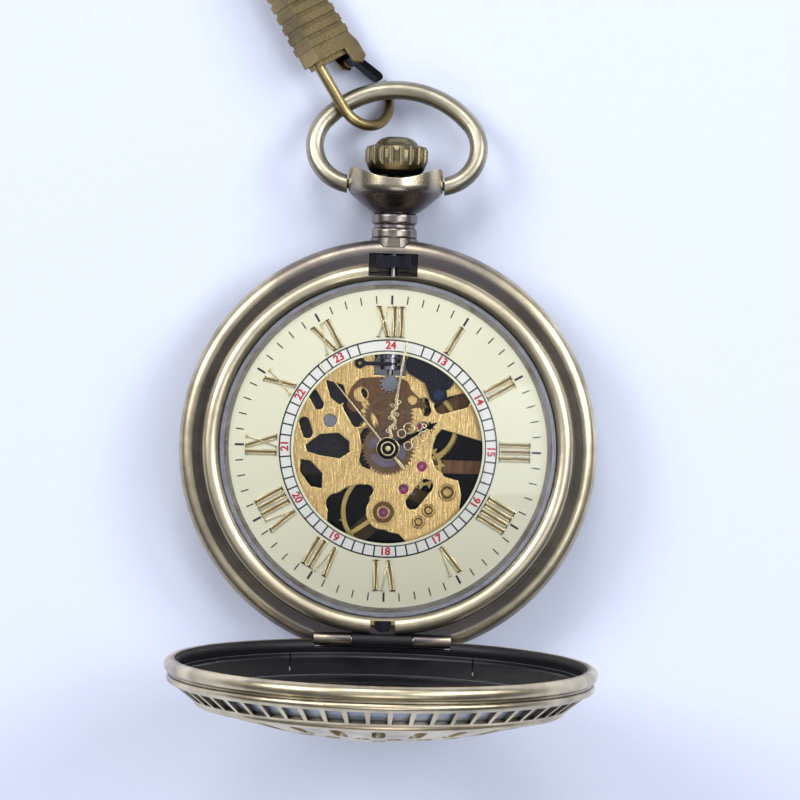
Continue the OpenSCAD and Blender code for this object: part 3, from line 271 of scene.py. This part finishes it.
def polished_metal(name, colour, roughness, centre=(0, 0)):
    """Polished or lathe-turned small part with a faint circular grain."""
    s = Shader(name)
    rings = s.noise(s.around(centre, 0.3), 26.0, 2.0, 0.6)
    cloud = s.noise(s.place, 700.0, 2.0, 0.5)
    tone = s.mix(s.clamp(cloud, 0.35, 0.7, 0.0, 0.55), colour, tuple(0.62 * c for c in colour))
    rough = s.clamp(rings, 0.3, 0.7, roughness - 0.04, roughness + 0.1)
    return s.finish(tone, rough, 1.0, s.bump(rings, 0.12, 0.006), edge=0.04)


# ---------------------------------------------------------------- other materials

def clear_glass(name, tint, shine):
    """Thin clear glass: a tinted window with a sharp reflection that grows towards its edge."""
    s = Shader(name)
    smear = s.noise(s.place, 60.0, 3.0, 0.6)
    gloss = s.add("ShaderNodeBsdfGlossy", Color=(1, 1, 1), Roughness=s.clamp(smear, 0.4, 0.8, 0.02, 0.07))
    window = s.add("ShaderNodeBsdfTransparent", Color=tint)
    facing = s.add("ShaderNodeLayerWeight", Blend=0.25).outputs["Fresnel"]
    amount = s.clamp(facing, 0.06, 1.0, shine, 0.7)
    both = s.add("ShaderNodeMixShader")
    s.join(amount, both.inputs[0])
    s.join(window.outputs[0], both.inputs[1])
    s.join(gloss.outputs[0], both.inputs[2])
    s.join(both.outputs[0], s.output.inputs["Surface"])
    s.tree.nodes.remove(s.skin)
    return s.material


def ruby(name):
    """Synthetic ruby: deep red with a clear polish."""
    s = Shader(name)
    cloud = s.noise(s.place, 1500.0, 2.0, 0.5)
    tone = s.mix(s.clamp(cloud, 0.3, 0.7), (0.12, 0.003, 0.05), (0.40, 0.01, 0.17))
    return s.finish(tone, 0.08, 0.0, Coat_Weight=0.6, Specular_IOR_Level=0.8)


def dial_enamel(name, light, dark):
    """Dial paint with a very fine grain."""
    s = Shader(name)
    cloud = s.noise(s.place, 45.0, 2.0, 0.5)
    grain = s.noise(s.place, 5200.0, 2.0, 0.6)
    tone = s.mix(s.clamp(cloud, 0.35, 0.65), light, dark)
    tone = s.mix(s.clamp(grain, 0.55, 0.8, 0.0, 0.12), tone, (0.45, 0.43, 0.30))
    return s.finish(tone, s.clamp(cloud, 0.3, 0.7, 0.3, 0.38), 0.0, s.bump(grain, 0.15, 0.004))


def print_ink(name, colour):
    """Thin printed ink, slightly uneven."""
    s = Shader(name)
    grain = s.noise(s.place, 4200.0, 2.0, 0.6)
    tone = s.mix(s.clamp(grain, 0.4, 0.75, 0.0, 0.5), colour, tuple(min(1, 2.2 * c + 0.03) for c in colour))
    return s.finish(tone, s.clamp(grain, 0.3, 0.7, 0.35, 0.5))


def cover_inside(s):
    """1 on faces that look towards the middle of the cover's open side, 0 on the outer ones."""
    focus = HINGE + Matrix.Rotation(COVER_OPEN, 3, "X") @ Vector((0, COVER_RADIUS * MM, -2 * MM))
    to_focus = s.add("ShaderNodeVectorMath", {"operation": "SUBTRACT"})
    to_focus.inputs[0].default_value = focus
    s.join(s.place, to_focus.inputs[1])
    unit = s.add("ShaderNodeVectorMath", {"operation": "NORMALIZE"})
    s.join(to_focus.outputs[0], unit.inputs[0])
    dot = s.add("ShaderNodeVectorMath", {"operation": "DOT_PRODUCT"})
    s.join(unit.outputs[0], dot.inputs[0])
    s.join(s.add("ShaderNodeTexCoord").outputs["Normal"], dot.inputs[1])
    return s.clamp(dot.outputs["Value"], 0.15, 0.35)


def cover_metal(name):
    """Antique bronze, turned about the cover's own axis, whose inner side is painted almost black as shade.
    """
    s = Shader(name)
    shut = s.add("ShaderNodeVectorRotate", {"rotation_type": "X_AXIS"}, Vector=s.place, Center=tuple(HINGE),
                 Angle=-COVER_OPEN)
    x, y, z = s.split(shut.outputs[0])
    inside = cover_inside(s)
    rings = s.noise(s.polar(x, y, z), RING_SCALE, 4.0, 0.7)
    cloud = s.noise(s.place, MOTTLE_SCALE, 3.0, 0.55)
    tone = s.mix(s.clamp(cloud, 0.35, 0.68), BRONZE["mid"], BRONZE["light"])
    tone = s.mix(s.clamp(s.corners(1.2), 0.25, 0.9, 0.95, 0.0), tone, BRONZE["dark"])
    # Painted shade: the inner side is made almost black and hardly metallic.
    tone = s.mix(inside, tone, COVER_INSIDE_SHADE)
    rough = s.math("ADD", s.clamp(rings, 0.3, 0.7, 0.26, 0.4), s.math("MULTIPLY", inside, 0.2))
    metallic = s.math("SUBTRACT", 1.0, s.math("MULTIPLY", inside, 0.9))
    return s.finish(tone, rough, metallic, s.bump(rings, 0.25, 0.012), EDGE_ROUND)


def lining_shade_and_satin(name):
    """Painted shade inside, almost black; outside, behind the windows, a pale blue-grey satin."""
    s = Shader(name)
    inside = cover_inside(s)
    cloud = s.noise(s.place, 500.0, 3.0, 0.55)
    pale = s.mix(s.clamp(cloud, 0.35, 0.7), (0.36, 0.41, 0.50), (0.50, 0.56, 0.66))
    # Painted shade: the inside of the lining is made almost black.
    tone = s.mix(inside, pale, COVER_INSIDE_SHADE)
    return s.finish(tone, s.clamp(cloud, 0.3, 0.7, 0.3, 0.45), s.clamp(inside, 0.0, 1.0, 0.6, 0.0), edge=0.05)


materials = {
    "case": turned_metal("case_bronze", roughness=0.32, groove_shade=(20.9, 22.0), darkening_reach=(16.0, 24.0), **BRONZE),
    "pendant": turned_metal("pendant_bronze", roughness=0.26, darkening_reach=(31.5, 28.0), **BRONZE),
    "bezel": turned_metal("bezel_bronze", (0.90, 0.77, 0.53), (0.52, 0.45, 0.32), BRONZE["dark"], 0.32),
    "bow": turned_metal("bow_bronze", (0.56, 0.51, 0.38), (0.30, 0.27, 0.20), (0.02, 0.019, 0.022), 0.34),
    "crown": turned_metal("crown_brass", (0.34, 0.28, 0.15), (0.17, 0.14, 0.085), BRASS_DARK, 0.28),
    "clip": turned_metal("clip_brass", (0.62, 0.46, 0.20), (0.28, 0.21, 0.11), BRASS_DARK, 0.3,
                         grain=0.3, wear=0.245),
    "cover": cover_metal("cover_bronze"),
    "lining": lining_shade_and_satin("lining_shade_and_satin"),
    "bright": polished_metal("bright_brass", (0.66, 0.56, 0.36), 0.26),
    "plate": brushed_metal("gilt_plate", (1.0, 0.74, 0.34), (0.56, 0.31, 0.09), 0.24, turn=8.0, grain=2.2,
                           edge=0.16, stretch=(5000, 420, 300)),
    "bridge": brushed_metal("gilt_bridge", (0.84, 0.58, 0.25), (0.50, 0.31, 0.11), 0.32, turn=40.0,
                            edge=0.08, dim_top=0.88),
    "copper": brushed_metal("copper_bridge", (0.66, 0.36, 0.19), (0.34, 0.17, 0.08), 0.34, turn=80.0,
                            dim_top=0.5),
    "wheel": polished_metal("gilt_wheel", (0.80, 0.58, 0.20), 0.2),
    "numeral": polished_metal("gilt_numeral", (0.95, 0.80, 0.50), 0.2),
    "numeral_bed": polished_metal("gilt_numeral_bed", (0.34, 0.23, 0.08), 0.3),
    "hand_gold": polished_metal("hand_gold", (0.95, 0.78, 0.46), 0.2),
    "steel": polished_metal("watch_steel", (0.36, 0.35, 0.38), 0.2),
    "dark_steel": brushed_metal("dark_steel", (0.055, 0.055, 0.065), (0.02, 0.02, 0.026), 0.2, turn=20.0,
                                grain=0.15),
    "blued": polished_metal("blued_steel", (0.05, 0.07, 0.16), 0.2),
    # Painted shade: the barrel is made almost black, as it lies in shade behind the movement's openings.
    "barrel": polished_metal("barrel_shaded_dark", (0.045, 0.042, 0.045), 0.25, BARREL_AT),
    "rim_steel": polished_metal("rim_steel", (0.46, 0.44, 0.48), 0.24),
    "hand_black": polished_metal("hand_black", (0.012, 0.010, 0.009), 0.3),
    "glass": clear_glass("front_glass", (0.985, 0.99, 0.99), 0.009),
    # Painted shade: the dark tint darkens the floor seen through the movement, which lies in the watch's
    # shadow.
    "back_glass": clear_glass("rear_glass_shaded", (0.17, 0.14, 0.145), 0.012),
    "ruby": ruby("ruby"),
    "dial": dial_enamel("dial_enamel", (0.80, 0.77, 0.58), (0.76, 0.73, 0.55)),
    "white": dial_enamel("white_enamel", (0.80, 0.79, 0.74), (0.75, 0.74, 0.69)),
    "brown": brushed_metal("brown_plate", (0.34, 0.18, 0.09), (0.15, 0.075, 0.04), 0.22, turn=60.0,
                           edge=0.12),
    "brown_wheel": polished_metal("brown_wheel", (0.26, 0.16, 0.09), 0.22),
    "lilac": polished_metal("lilac_steel", (0.30, 0.25, 0.29), 0.18),
    "ink": print_ink("black_ink", (0.012, 0.014, 0.013)),
    "red": print_ink("red_ink", (0.42, 0.005, 0.02)),
}

NODE_LOOKS = {
    "case": ["mid_case", "back_bezel"],
    "pendant": ["pendant"],
    "bezel": ["front_bezel"],
    "bow": ["bow"],
    "crown": ["crown"],
    "clip": ["clip_hook", "clip_sleeve", "clip_swivel"],
    "cover": ["front_cover"],
    "lining": ["cover_lining"],
    "bright": ["hinge_pin", "gate_pin"],
    "plate": ["main_plate"],
    "bridge": ["barrel_bridge", "balance_cock", "pallet_cock"],
    "copper": ["train_bridge"],
    "barrel": ["barrel"],
    "wheel": ["movement_ring", "centre_wheel", "third_wheel", "fourth_wheel", "escape_wheel",
              "balance_wheel"],
    "brown_wheel": ["minute_wheel", "hour_wheel"],
    "steel": ["barrel_arbor", "ratchet_wheel", "crown_wheel", "click", "click_spring", "cannon_pinion",
              "pallet_fork", "balance_staff", "setting_wheel", "winding_stem", "winding_pinion",
              "sliding_pinion"],
    "dark_steel": ["mainspring", "setting_lever", "yoke", "keyless_cover", "lift_spring", "cover_catch",
                   "clip_gate"],
    "blued": ["movement_screws", "ratchet_screw", "hairspring"],
    "rim_steel": ["crystal_ring"],
    "glass": ["front_crystal"],
    "back_glass": ["back_crystal"],
    "ruby": ["plate_jewels", "bridge_jewels", "pallet_stones"],
    "dial": ["dial"],
    "numeral": ["hour_numerals"],
    "hand_black": ["hour_hand"],
    "hand_gold": ["minute_hand", "seconds_hand"],
}
for look, names in NODE_LOOKS.items():
    for name in names:
        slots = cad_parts[name].data.materials
        slots.clear()
        slots.append(materials[look])


# ---------------------------------------------------------------- flat pieces

ROUND_COUNT = 180


def clockwise(point, degrees):
    """A flat point turned clockwise about the dial's centre, as a hand turns."""
    a = -math.radians(degrees)
    x, y = point
    return x * math.cos(a) - y * math.sin(a), x * math.sin(a) + y * math.cos(a)


def flat_mesh(loops, z0, z1, bevel=0.0):
    """A flat part cut from closed outlines in millimetres; an outline inside another is a hole."""
    curve = bpy.data.curves.new("outline", "CURVE")
    curve.dimensions = "2D"
    curve.fill_mode = "BOTH"
    for loop in loops:
        spline = curve.splines.new("POLY")
        spline.points.add(len(loop) - 1)
        for point, (x, y) in zip(spline.points, loop):
            point.co = (x * MM, y * MM, 0, 1)
        spline.use_cyclic_u = True
    curve.extrude = max((z1 - z0) / 2 - bevel, 0.0) * MM
    curve.bevel_depth = bevel * MM
    curve.offset = -bevel * MM
    curve.bevel_resolution = 2
    return curve_mesh(curve, Matrix.Translation((0, 0, (z0 + z1) / 2 * MM)))


def curve_mesh(curve, matrix):
    """The mesh of a curve or a text, moved by the matrix."""
    holder = bpy.data.objects.new("holder", curve)
    bpy.context.scene.collection.objects.link(holder)
    graph = bpy.context.evaluated_depsgraph_get()
    mesh = bpy.data.meshes.new_from_object(holder.evaluated_get(graph))
    bpy.data.objects.remove(holder)
    mesh.transform(matrix)
    return mesh


def piece_of(name, groups, body):
    """One object from meshes listed under the look that each of them has."""
    whole = bmesh.new()
    mesh = bpy.data.meshes.new(name)
    for index, (look, parts) in enumerate(groups.items()):
        mesh.materials.append(materials[look])
        for part in parts:
            for face in part.polygons:
                face.material_index = index
            whole.from_mesh(part)
    whole.to_mesh(mesh)
    whole.free()
    piece = bpy.data.objects.new(name, mesh)
    bpy.context.scene.collection.objects.link(piece)
    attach(piece, body)
    return piece


def circle(x, y, r, count=48):
    """A round outline."""
    angles = [math.tau * i / count for i in range(count)]
    return [(x + r * math.cos(a), y + r * math.sin(a)) for a in angles]


def ring(x, y, outer, inner, count=48):
    """The outlines of a flat ring."""
    return [circle(x, y, outer, count), circle(x, y, inner, count)]


def ribbon(points, widths):
    """The outline of a strip of changing width along a line of points."""
    left, right = [], []
    for i, (p, w) in enumerate(zip(points, widths)):
        before, after = points[max(i - 1, 0)], points[min(i + 1, len(points) - 1)]
        dx, dy = after[0] - before[0], after[1] - before[1]
        size = math.hypot(dx, dy) or 1
        nx, ny = -dy / size * w / 2, dx / size * w / 2
        left.append((p[0] + nx, p[1] + ny))
        right.append((p[0] - nx, p[1] - ny))
    return left + right[::-1]


def placed(loops, degrees, shift=(0, 0)):
    """Outlines moved by shift and then turned clockwise about the dial's centre."""
    return [[clockwise((x + shift[0], y + shift[1]), degrees) for x, y in loop] for loop in loops]


# ---------------------------------------------------------------- plate details

PLATE_Z = 6.7
MINUTE_AT, SETTING_AT = (0, 3.6), (0, 7.35)
SMOOTH_STEPS = 6
BUSHES = ((6.81, -4.76, 0.85), (4.76, -6.84, 0.62), (3.68, -8.17, 0.6))
DECK_OUTLINE = ((-4.6, 6.1), (-3.9, 7.3), (-2.6, 7.95), (1.5, 7.85), (2.6, 6.5), (3.7, 5.5), (4.3, 4.7),
                (2.5, 4.5), (1.8, 2.6), (1.0, 1.9), (-0.7, 1.8), (-1.4, 3.4), (-2.5, 4.5), (-3.8, 4.0),
                (-4.7, 4.6))
DECK_WINDOWS = ((-3.2, 6.0, 0.72), (-2.6, 4.9, 0.36), (2.6, 5.5, 0.4))


def between(a, b, c, d, t):
    """The Catmull-Rom curve from b (t = 0) to c (t = 1), with a before it and d after it."""
    slope = (c - a) * t
    bend = (2 * a - 5 * b + 4 * c - d) * t ** 2
    twist = (3 * b - a - 3 * c + d) * t ** 3
    return 0.5 * (2 * b + slope + bend + twist)


def smooth(points):
    """A closed outline that runs smoothly through the points."""
    loop = []
    for i in range(len(points)):
        around = [points[(i + k - 1) % len(points)] for k in range(4)]
        for j in range(SMOOTH_STEPS):
            loop.append(tuple(between(*values, j / SMOOTH_STEPS) for values in zip(*around)))
    return loop


def on_plate(loops, height, bevel=0.0, foot=0.0):
    """A flat part that stands on the main plate, from foot to height above it."""
    return flat_mesh(loops, PLATE_Z + foot, PLATE_Z + height, bevel)


def keyless_plate():
    """Brown plate over the winding parts, whose round windows have gilt rims."""
    arbors = ((*MINUTE_AT, 0.2), (*SETTING_AT, 0.38))
    loops = [smooth(DECK_OUTLINE)] + [circle(*hole) for hole in DECK_WINDOWS + arbors]
    rims = [on_plate(ring(x, y, r + 0.12, r), 0.045, 0.015) for x, y, r in DECK_WINDOWS]
    groups = {"brown": [on_plate(loops, 0.035, 0.01)], "wheel": rims}
    piece_of("keyless_plate", groups, "case")


def plate_fittings():
    """Raised rings round the balance jewel and three brass bushes, and a steel washer at the centre."""
    gold = [on_plate(ring(*BALANCE_AT, 1.42, 1.2), 0.12, 0.04),
            on_plate(ring(*BALANCE_AT, 0.72, 0.56), 0.1, 0.03),
            on_plate(ring(0, 0, 2.72, 2.58), 0.045, 0.015)]
    dark = [on_plate(ring(*BALANCE_AT, 1.2, 0.72), 0.05)]
    for x, y, r in BUSHES:
        gold.append(on_plate(ring(x, y, r + 0.06, r - 0.1), 0.2, 0.03, foot=0.1))
        gold.append(on_plate(ring(x, y, r * 0.5, r * 0.24), 0.18, 0.03, foot=0.1))
        dark.append(on_plate(ring(x, y, r - 0.1, r * 0.5), 0.13, foot=0.11))
        dark.append(on_plate(ring(x, y, r + 0.14, r + 0.06), 0.02))
    washer = on_plate(ring(0, 0, 2.58, 0.7), 0.03)
    groups = {"wheel": gold, "brown": dark, "lilac": [washer]}
    piece_of("plate_fittings", groups, "case")


def bevel_edges(name, width):
    """Turns the sharp edges of a CAD node into narrow flat bevels that catch the light."""
    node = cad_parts[name]
    clean = node.modifiers.new("flat_faces", "DECIMATE")
    clean.decimate_type = "DISSOLVE"
    clean.angle_limit = math.radians(2)
    bevel = node.modifiers.new("edge", "BEVEL")
    bevel.width = width * MM
    bevel.segments = 1
    bevel.limit_method = "ANGLE"
    bevel.angle_limit = math.radians(40)


# ---------------------------------------------------------------- dial printing

DIAL_TOP = 7.9
INK_Z0, INK_Z1 = 7.915, 7.93
BAND_IN = 10.68
CHAPTER_IN, CHAPTER_OUT = 10.95, 12.2
TICK_IN, TICK_OUT = 16.3, 17.2
TICK_HALF, HOUR_TICK_HALF = 0.065, 0.12
HOUR_TICK_EXTRA = 0.12
LINE_W = 0.17
TOP_BOX_HALF = 18
NUMBER_SIZE = 1.2
NUMBER_SWELL = 0.045
NUMBER_FLATTEN = 0.2


def print_dial():
    """Minute ticks, the white chapter ring and its dividing lines, each as its own flat mesh."""
    parts = []
    for minute in range(60):
        on_hour = minute % 5 == 0
        half = HOUR_TICK_HALF if on_hour else TICK_HALF
        inner = TICK_IN - (HOUR_TICK_EXTRA if on_hour else 0.0)
        tick = [(-half, inner), (half, inner), (half, TICK_OUT), (-half, TICK_OUT)]
        parts.append(flat_mesh(placed([tick], minute * 6), INK_Z0, INK_Z1))
    for radius in (CHAPTER_IN, CHAPTER_OUT):
        border = ring(0, 0, radius + LINE_W / 2, radius - LINE_W / 2, ROUND_COUNT)
        parts.append(flat_mesh(border, INK_Z0, INK_Z1))
    half = LINE_W / 2
    line = [(-half, CHAPTER_IN), (half, CHAPTER_IN), (half, CHAPTER_OUT), (-half, CHAPTER_OUT)]
    for step in range(60):
        clock = step * 6
        from_top = min(clock, 360 - clock)
        if clock % 30 == 0 or from_top < TOP_BOX_HALF:
            continue
        parts.append(flat_mesh(placed([line], clock), INK_Z0, INK_Z1))
    band = flat_mesh(ring(0, 0, CHAPTER_OUT, BAND_IN, ROUND_COUNT), DIAL_TOP, INK_Z0)
    piece_of("dial_print", {"ink": parts, "white": [band]}, "case")


def number_mesh(text, clock, radius):
    """A printed number whose foot points in, or out on the lower half of the dial."""
    curve = bpy.data.curves.new("number", "FONT")
    curve.body = text
    curve.size = NUMBER_SIZE * MM
    curve.align_x = "CENTER"
    curve.align_y = "CENTER"
    curve.extrude = (INK_Z1 - INK_Z0) / 2 * MM
    curve.bevel_depth = NUMBER_SWELL * MM
    flat = Matrix.Diagonal((1, 1, NUMBER_FLATTEN, 1))
    flipped = 120 <= clock <= 240
    spin = clock - 180 if flipped else clock
    x, y = clockwise((0, radius), clock)
    middle = Matrix.Translation((x * MM, y * MM, (INK_Z0 + INK_Z1) / 2 * MM))
    return curve_mesh(curve, middle @ Matrix.Rotation(-math.radians(spin), 4, "Z") @ flat)


def print_numbers():
    """The red inner hours from 13 to 24."""
    middle = (CHAPTER_IN + CHAPTER_OUT) / 2
    numbers = [number_mesh(str(hour + 12), hour * 30, middle) for hour in range(1, 13)]
    piece_of("dial_numbers", {"red": numbers}, "case")


# ---------------------------------------------------------------- applied numerals

NUMERAL_FOOT, NUMERAL_H = 12.5, 3.5
NUMERAL_Z0, NUMERAL_Z1, BED_Z1 = 7.91, 8.08, 7.97
SERIF_H = 0.17
WIRE = 0.17
BROAD, FINE = 0.58, 0.16
STEM_PITCH = 0.78


def open_stroke(x0, x1, w):
    """A slanted stroke; a broad one has a slot down its middle, like two gilt wires."""
    outer = [(x0 - w / 2, 0), (x0 + w / 2, 0), (x1 + w / 2, NUMERAL_H), (x1 - w / 2, NUMERAL_H)]
    if w < 2 * WIRE:
        return [outer]
    low, high = SERIF_H, NUMERAL_H - SERIF_H

    def at(y, side):
        return x0 + (x1 - x0) * y / NUMERAL_H + side * (w / 2 - WIRE)

    return [outer, [(at(low, -1), low), (at(low, 1), low), (at(high, 1), high), (at(high, -1), high)]]


def serif(x, w, y):
    """A straight bar at the foot or the head of a stroke."""
    return [[(x - w / 2, y), (x + w / 2, y), (x + w / 2, y + SERIF_H), (x - w / 2, y + SERIF_H)]]


def foot(x, w):
    """The serif at the bottom of a stroke."""
    return serif(x, w, 0)


def head(x, w):
    """The serif at the top of a stroke."""
    return serif(x, w, NUMERAL_H - SERIF_H)


def letter_i(x):
    """An I with its middle at x."""
    return [open_stroke(x, x, BROAD), foot(x, 0.8), head(x, 0.8)]


def letter_v(x):
    """A V with its point at x."""
    lean = 0.62
    return [open_stroke(x, x - lean, BROAD), open_stroke(x + 0.05, x + lean, FINE), foot(x, 0.3),
            head(x - lean, 0.68), head(x + lean, 0.5)]


def letter_x(x):
    """An X with its middle at x."""
    lean = 0.55
    return [open_stroke(x + lean, x - lean, BROAD), open_stroke(x - lean, x + lean, FINE),
            foot(x - lean, 0.5), foot(x + lean, 0.66), head(x - lean, 0.66), head(x + lean, 0.5)]


def roman(n):
    """Outlines of a Roman numeral, as separate groups so that overlaps don't cut holes."""
    if n <= 4:
        parts = [letter_i((i - (n - 1) / 2) * STEM_PITCH) for i in range(n)]
    elif n <= 8:
        shift = (n - 5) * 0.4
        parts = [letter_v(-shift)] + [letter_i(0.57 + i * STEM_PITCH - shift) for i in range(1, n - 4)]
    elif n == 9:
        parts = [letter_i(-STEM_PITCH), letter_x(0.45)]
    else:
        shift = (n - 10) * 0.44
        parts = [letter_x(-shift)] + [letter_i(0.45 + i * STEM_PITCH - shift) for i in range(1, n - 9)]
    return [group for part in parts for group in part]


def raise_numerals():
    """Twelve applied numerals in gilt, standing a little off the dial."""
    raised, beds = [], []
    for n in range(1, 13):
        for group in roman(n):
            loops = placed(group, 30 * n, (0, NUMERAL_FOOT))
            raised.append(flat_mesh(loops, NUMERAL_Z0, NUMERAL_Z1, 0.03))
            if len(loops) > 1:
                beds.append(flat_mesh(loops[:1], NUMERAL_Z0, BED_Z1))
    whole = piece_of("roman_numerals", {"numeral": raised, "numeral_bed": beds}, "case")
    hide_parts("hour_numerals")


# ---------------------------------------------------------------- hands

HOUR_ANGLE, MINUTE_ANGLE, SECOND_ANGLE = 60.6, 8.4, 319.8
HOUR_Z, MINUTE_Z, SECOND_Z = (8.15, 8.33), (8.55, 8.72), (8.95, 9.08)
HOUR_LOOPS = ((0.78, 2.15, 0.52), (0.92, 3.15, 0.66), (0.62, 4.15, 0.58), (0.36, 4.78, 0.3))
HOUR_BARBS = ((4.9, 0.75), (5.3, 0.55))
LOOP_WIRE = 0.14
WAVE_STEPS = 60


def hour_hand():
    """Openwork hour hand: a black spine with gold loops and black barbs on both sides."""
    z0, z1 = HOUR_Z
    spine = [(0, 0.9), (0, 1.5), (0.05, 2.1), (-0.05, 2.8), (0, 3.6), (0, 4.6), (0, 5.4), (0, 6.3)]
    widths = [0.9, 0.62, 0.34, 0.42, 0.34, 0.5, 0.55, 0.05]
    black = [[ribbon(spine, widths)], ring(0, 0, 1.2, 0.87)]
    gold = []
    for x, y, r in HOUR_LOOPS:
        for side in (-1, 1):
            gold.append(ring(side * x, y, r, r - LOOP_WIRE))
            black.append([circle(side * x * 0.62, y - r * 0.72, 0.17)])
    for y, reach in HOUR_BARBS:
        for side in (-1, 1):
            barb = [(0, y + 0.25), (side * reach, y + 0.32), (side * 0.2, y - 0.1), (0, y - 0.15)]
            black.append([barb])
    gold.append(ring(0, 0, 1.3, 1.18))
    groups = {"hand_black": [flat_mesh(placed(group, HOUR_ANGLE), z0 + 0.02, z1, 0.02) for group in black],
              "hand_gold": [flat_mesh(placed(group, HOUR_ANGLE), z0, z1 + 0.02, 0.03) for group in gold]}
    whole = piece_of("hour_hand_openwork", groups, "hour")
    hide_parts("hour_hand")


def minute_hand():
    """Pale gold minute hand that waves in its lower half and runs straight above."""
    wave, widths = [], []
    for i in range(WAVE_STEPS + 1):
        share = i / WAVE_STEPS
        fade = math.sin(math.pi * min(share * 1.1, 1))
        wave.append((0.26 * fade * math.sin(share * math.tau * 3.0) + 0.02, 0.8 + 5.4 * share))
        widths.append(0.34 - 0.08 * share + 0.1 * math.sin(share * math.tau * 6) ** 2)
    straight = [(0, 6.15), (0, 12.2)]
    groups = [[ribbon(wave, widths)], [ribbon(straight, [0.3, 0.16])], ring(0, 0, 0.95, 0.57)]
    for y in (2.2, 3.7, 5.1):
        for side in (-1, 1):
            groups.append(ring(side * 0.34, y + side * 0.25, 0.24, 0.13))
    parts = [flat_mesh(placed(group, MINUTE_ANGLE), *MINUTE_Z, 0.035) for group in groups]
    whole = piece_of("minute_hand_wave", {"hand_gold": parts}, "centre")
    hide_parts("minute_hand")


def seconds_hand():
    """Needle seconds hand with a short broad tail and a black hub that has a gold ring and stud."""
    z0, z1 = SECOND_Z
    needle = ribbon([(0, 0.5), (0, 12.5)], [0.22, 0.1])
    tail = ribbon([(0, -0.5), (0, -2.95)], [0.2, 0.42])
    gold = [flat_mesh(placed([outline], SECOND_ANGLE), z0, z1, 0.03) for outline in (needle, tail)]
    gold.append(flat_mesh(ring(0, 0, 0.82, 0.66), z1 - 0.04, 9.16, 0.03))
    gold.append(flat_mesh([circle(0, 0, 0.3)], z1 - 0.02, 9.3, 0.08))
    disc = flat_mesh(ring(0, 0, 1.2, 0.17), z0, z1 + 0.02, 0.04)
    whole = piece_of("seconds_hand_needle", {"hand_gold": gold, "hand_black": [disc]}, "fourth")
    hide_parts("seconds_hand")


keyless_plate()
plate_fittings()
bevel_edges("main_plate", 0.11)
print_dial()
print_numbers()
raise_numerals()
hour_hand()
minute_hand()
seconds_hand()


# ---------------------------------------------------------------- floor, light and camera

FLOOR_HALF = 0.6
FLOOR_GAP = 0.02
SKY_LOW, SKY_HIGH = 0.10, 0.66
SKY_BRIGHT_WAY = (-0.05, 0.34, 0.94)
SKY_COLOUR = (0.86, 0.90, 1.0, 1)
EYE = (1.2 * MM, 5.5 * MM, 0.542)
EYE_TURN = 1.7
LENS, SENSOR = 214, 36


def studio_floor():
    """A pale floor that the watch lies on, reaching well past the picture."""
    s = Shader("paper_floor")
    grain = s.noise(s.place, 900.0, 3.0, 0.6)
    tone = s.mix(grain, (0.64, 0.685, 0.84), (0.67, 0.715, 0.86))
    paper = s.finish(tone, 0.75)
    half = FLOOR_HALF
    corners = [(-half, -half, 0), (half, -half, 0), (half, half, 0), (-half, half, 0)]
    mesh = bpy.data.meshes.new("floor")
    mesh.from_pydata(corners, [], [(0, 1, 2, 3)])
    mesh.materials.append(paper)
    floor = bpy.data.objects.new("floor", mesh)
    bpy.context.scene.collection.objects.link(floor)
    floor.location.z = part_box("back_bezel")[0].z - FLOOR_GAP * MM


def softbox(name, at, size, power, colour=(1, 1, 1)):
    """A square soft light that faces the watch."""
    lamp = bpy.data.lights.new(name, "AREA")
    lamp.energy = power
    lamp.size = size
    lamp.color = colour
    thing = bpy.data.objects.new(name, lamp)
    thing.location = at
    thing.rotation_euler = (Vector((0, 0, 0)) - Vector(at)).to_track_quat("-Z", "Y").to_euler()
    bpy.context.scene.collection.objects.link(thing)


def sky():
    """A world that is bright above and beyond the watch and dim elsewhere, so that metal shows contrast."""
    world = bpy.data.worlds.new("studio")
    bpy.context.scene.world = world
    world.use_nodes = True
    nodes, links = world.node_tree.nodes, world.node_tree.links
    place = nodes.new("ShaderNodeTexCoord")
    toward = nodes.new("ShaderNodeVectorMath")
    toward.operation = "DOT_PRODUCT"
    toward.inputs[1].default_value = Vector(SKY_BRIGHT_WAY).normalized()
    ramp = nodes.new("ShaderNodeMapRange")
    ramp.inputs["From Min"].default_value = 0.3
    ramp.inputs["From Max"].default_value = 0.97
    ramp.inputs["To Min"].default_value = SKY_LOW
    ramp.inputs["To Max"].default_value = SKY_HIGH
    links.new(place.outputs["Generated"], toward.inputs[0])
    links.new(toward.outputs["Value"], ramp.inputs["Value"])
    back = nodes["Background"]
    back.inputs["Color"].default_value = SKY_COLOUR
    links.new(ramp.outputs[0], back.inputs["Strength"])


def studio():
    """The floor, five soft lights and the sky; the last light makes the crystal's soft reflection."""
    studio_floor()
    softbox("left_light", (-0.60, 0.34, 0.60), 0.40, 4.0)
    softbox("right_light", (0.60, 0.30, 0.56), 0.34, 3.0)
    softbox("far_light", (-0.08, 0.66, 0.62), 0.36, 2.4)
    softbox("near_light", (0.05, -0.62, 0.70), 0.40, 1.3)
    softbox("crystal_light", (0.27, 0.02, 0.56), 0.20, 0.6, (0.85, 0.92, 1.0))
    sky()
    bpy.context.scene.view_settings.view_transform = "Standard"


def camera():
    """Looks straight down from 0.54 m, with 12 o'clock leaning slightly to the right."""
    data = bpy.data.cameras.new("view")
    data.sensor_width = SENSOR
    data.lens = LENS
    data.clip_start = 0.01
    eye = bpy.data.objects.new("view", data)
    eye.location = EYE
    eye.rotation_euler = (0, 0, math.radians(EYE_TURN))
    bpy.context.scene.collection.objects.link(eye)
    bpy.context.scene.camera = eye


studio()
camera()
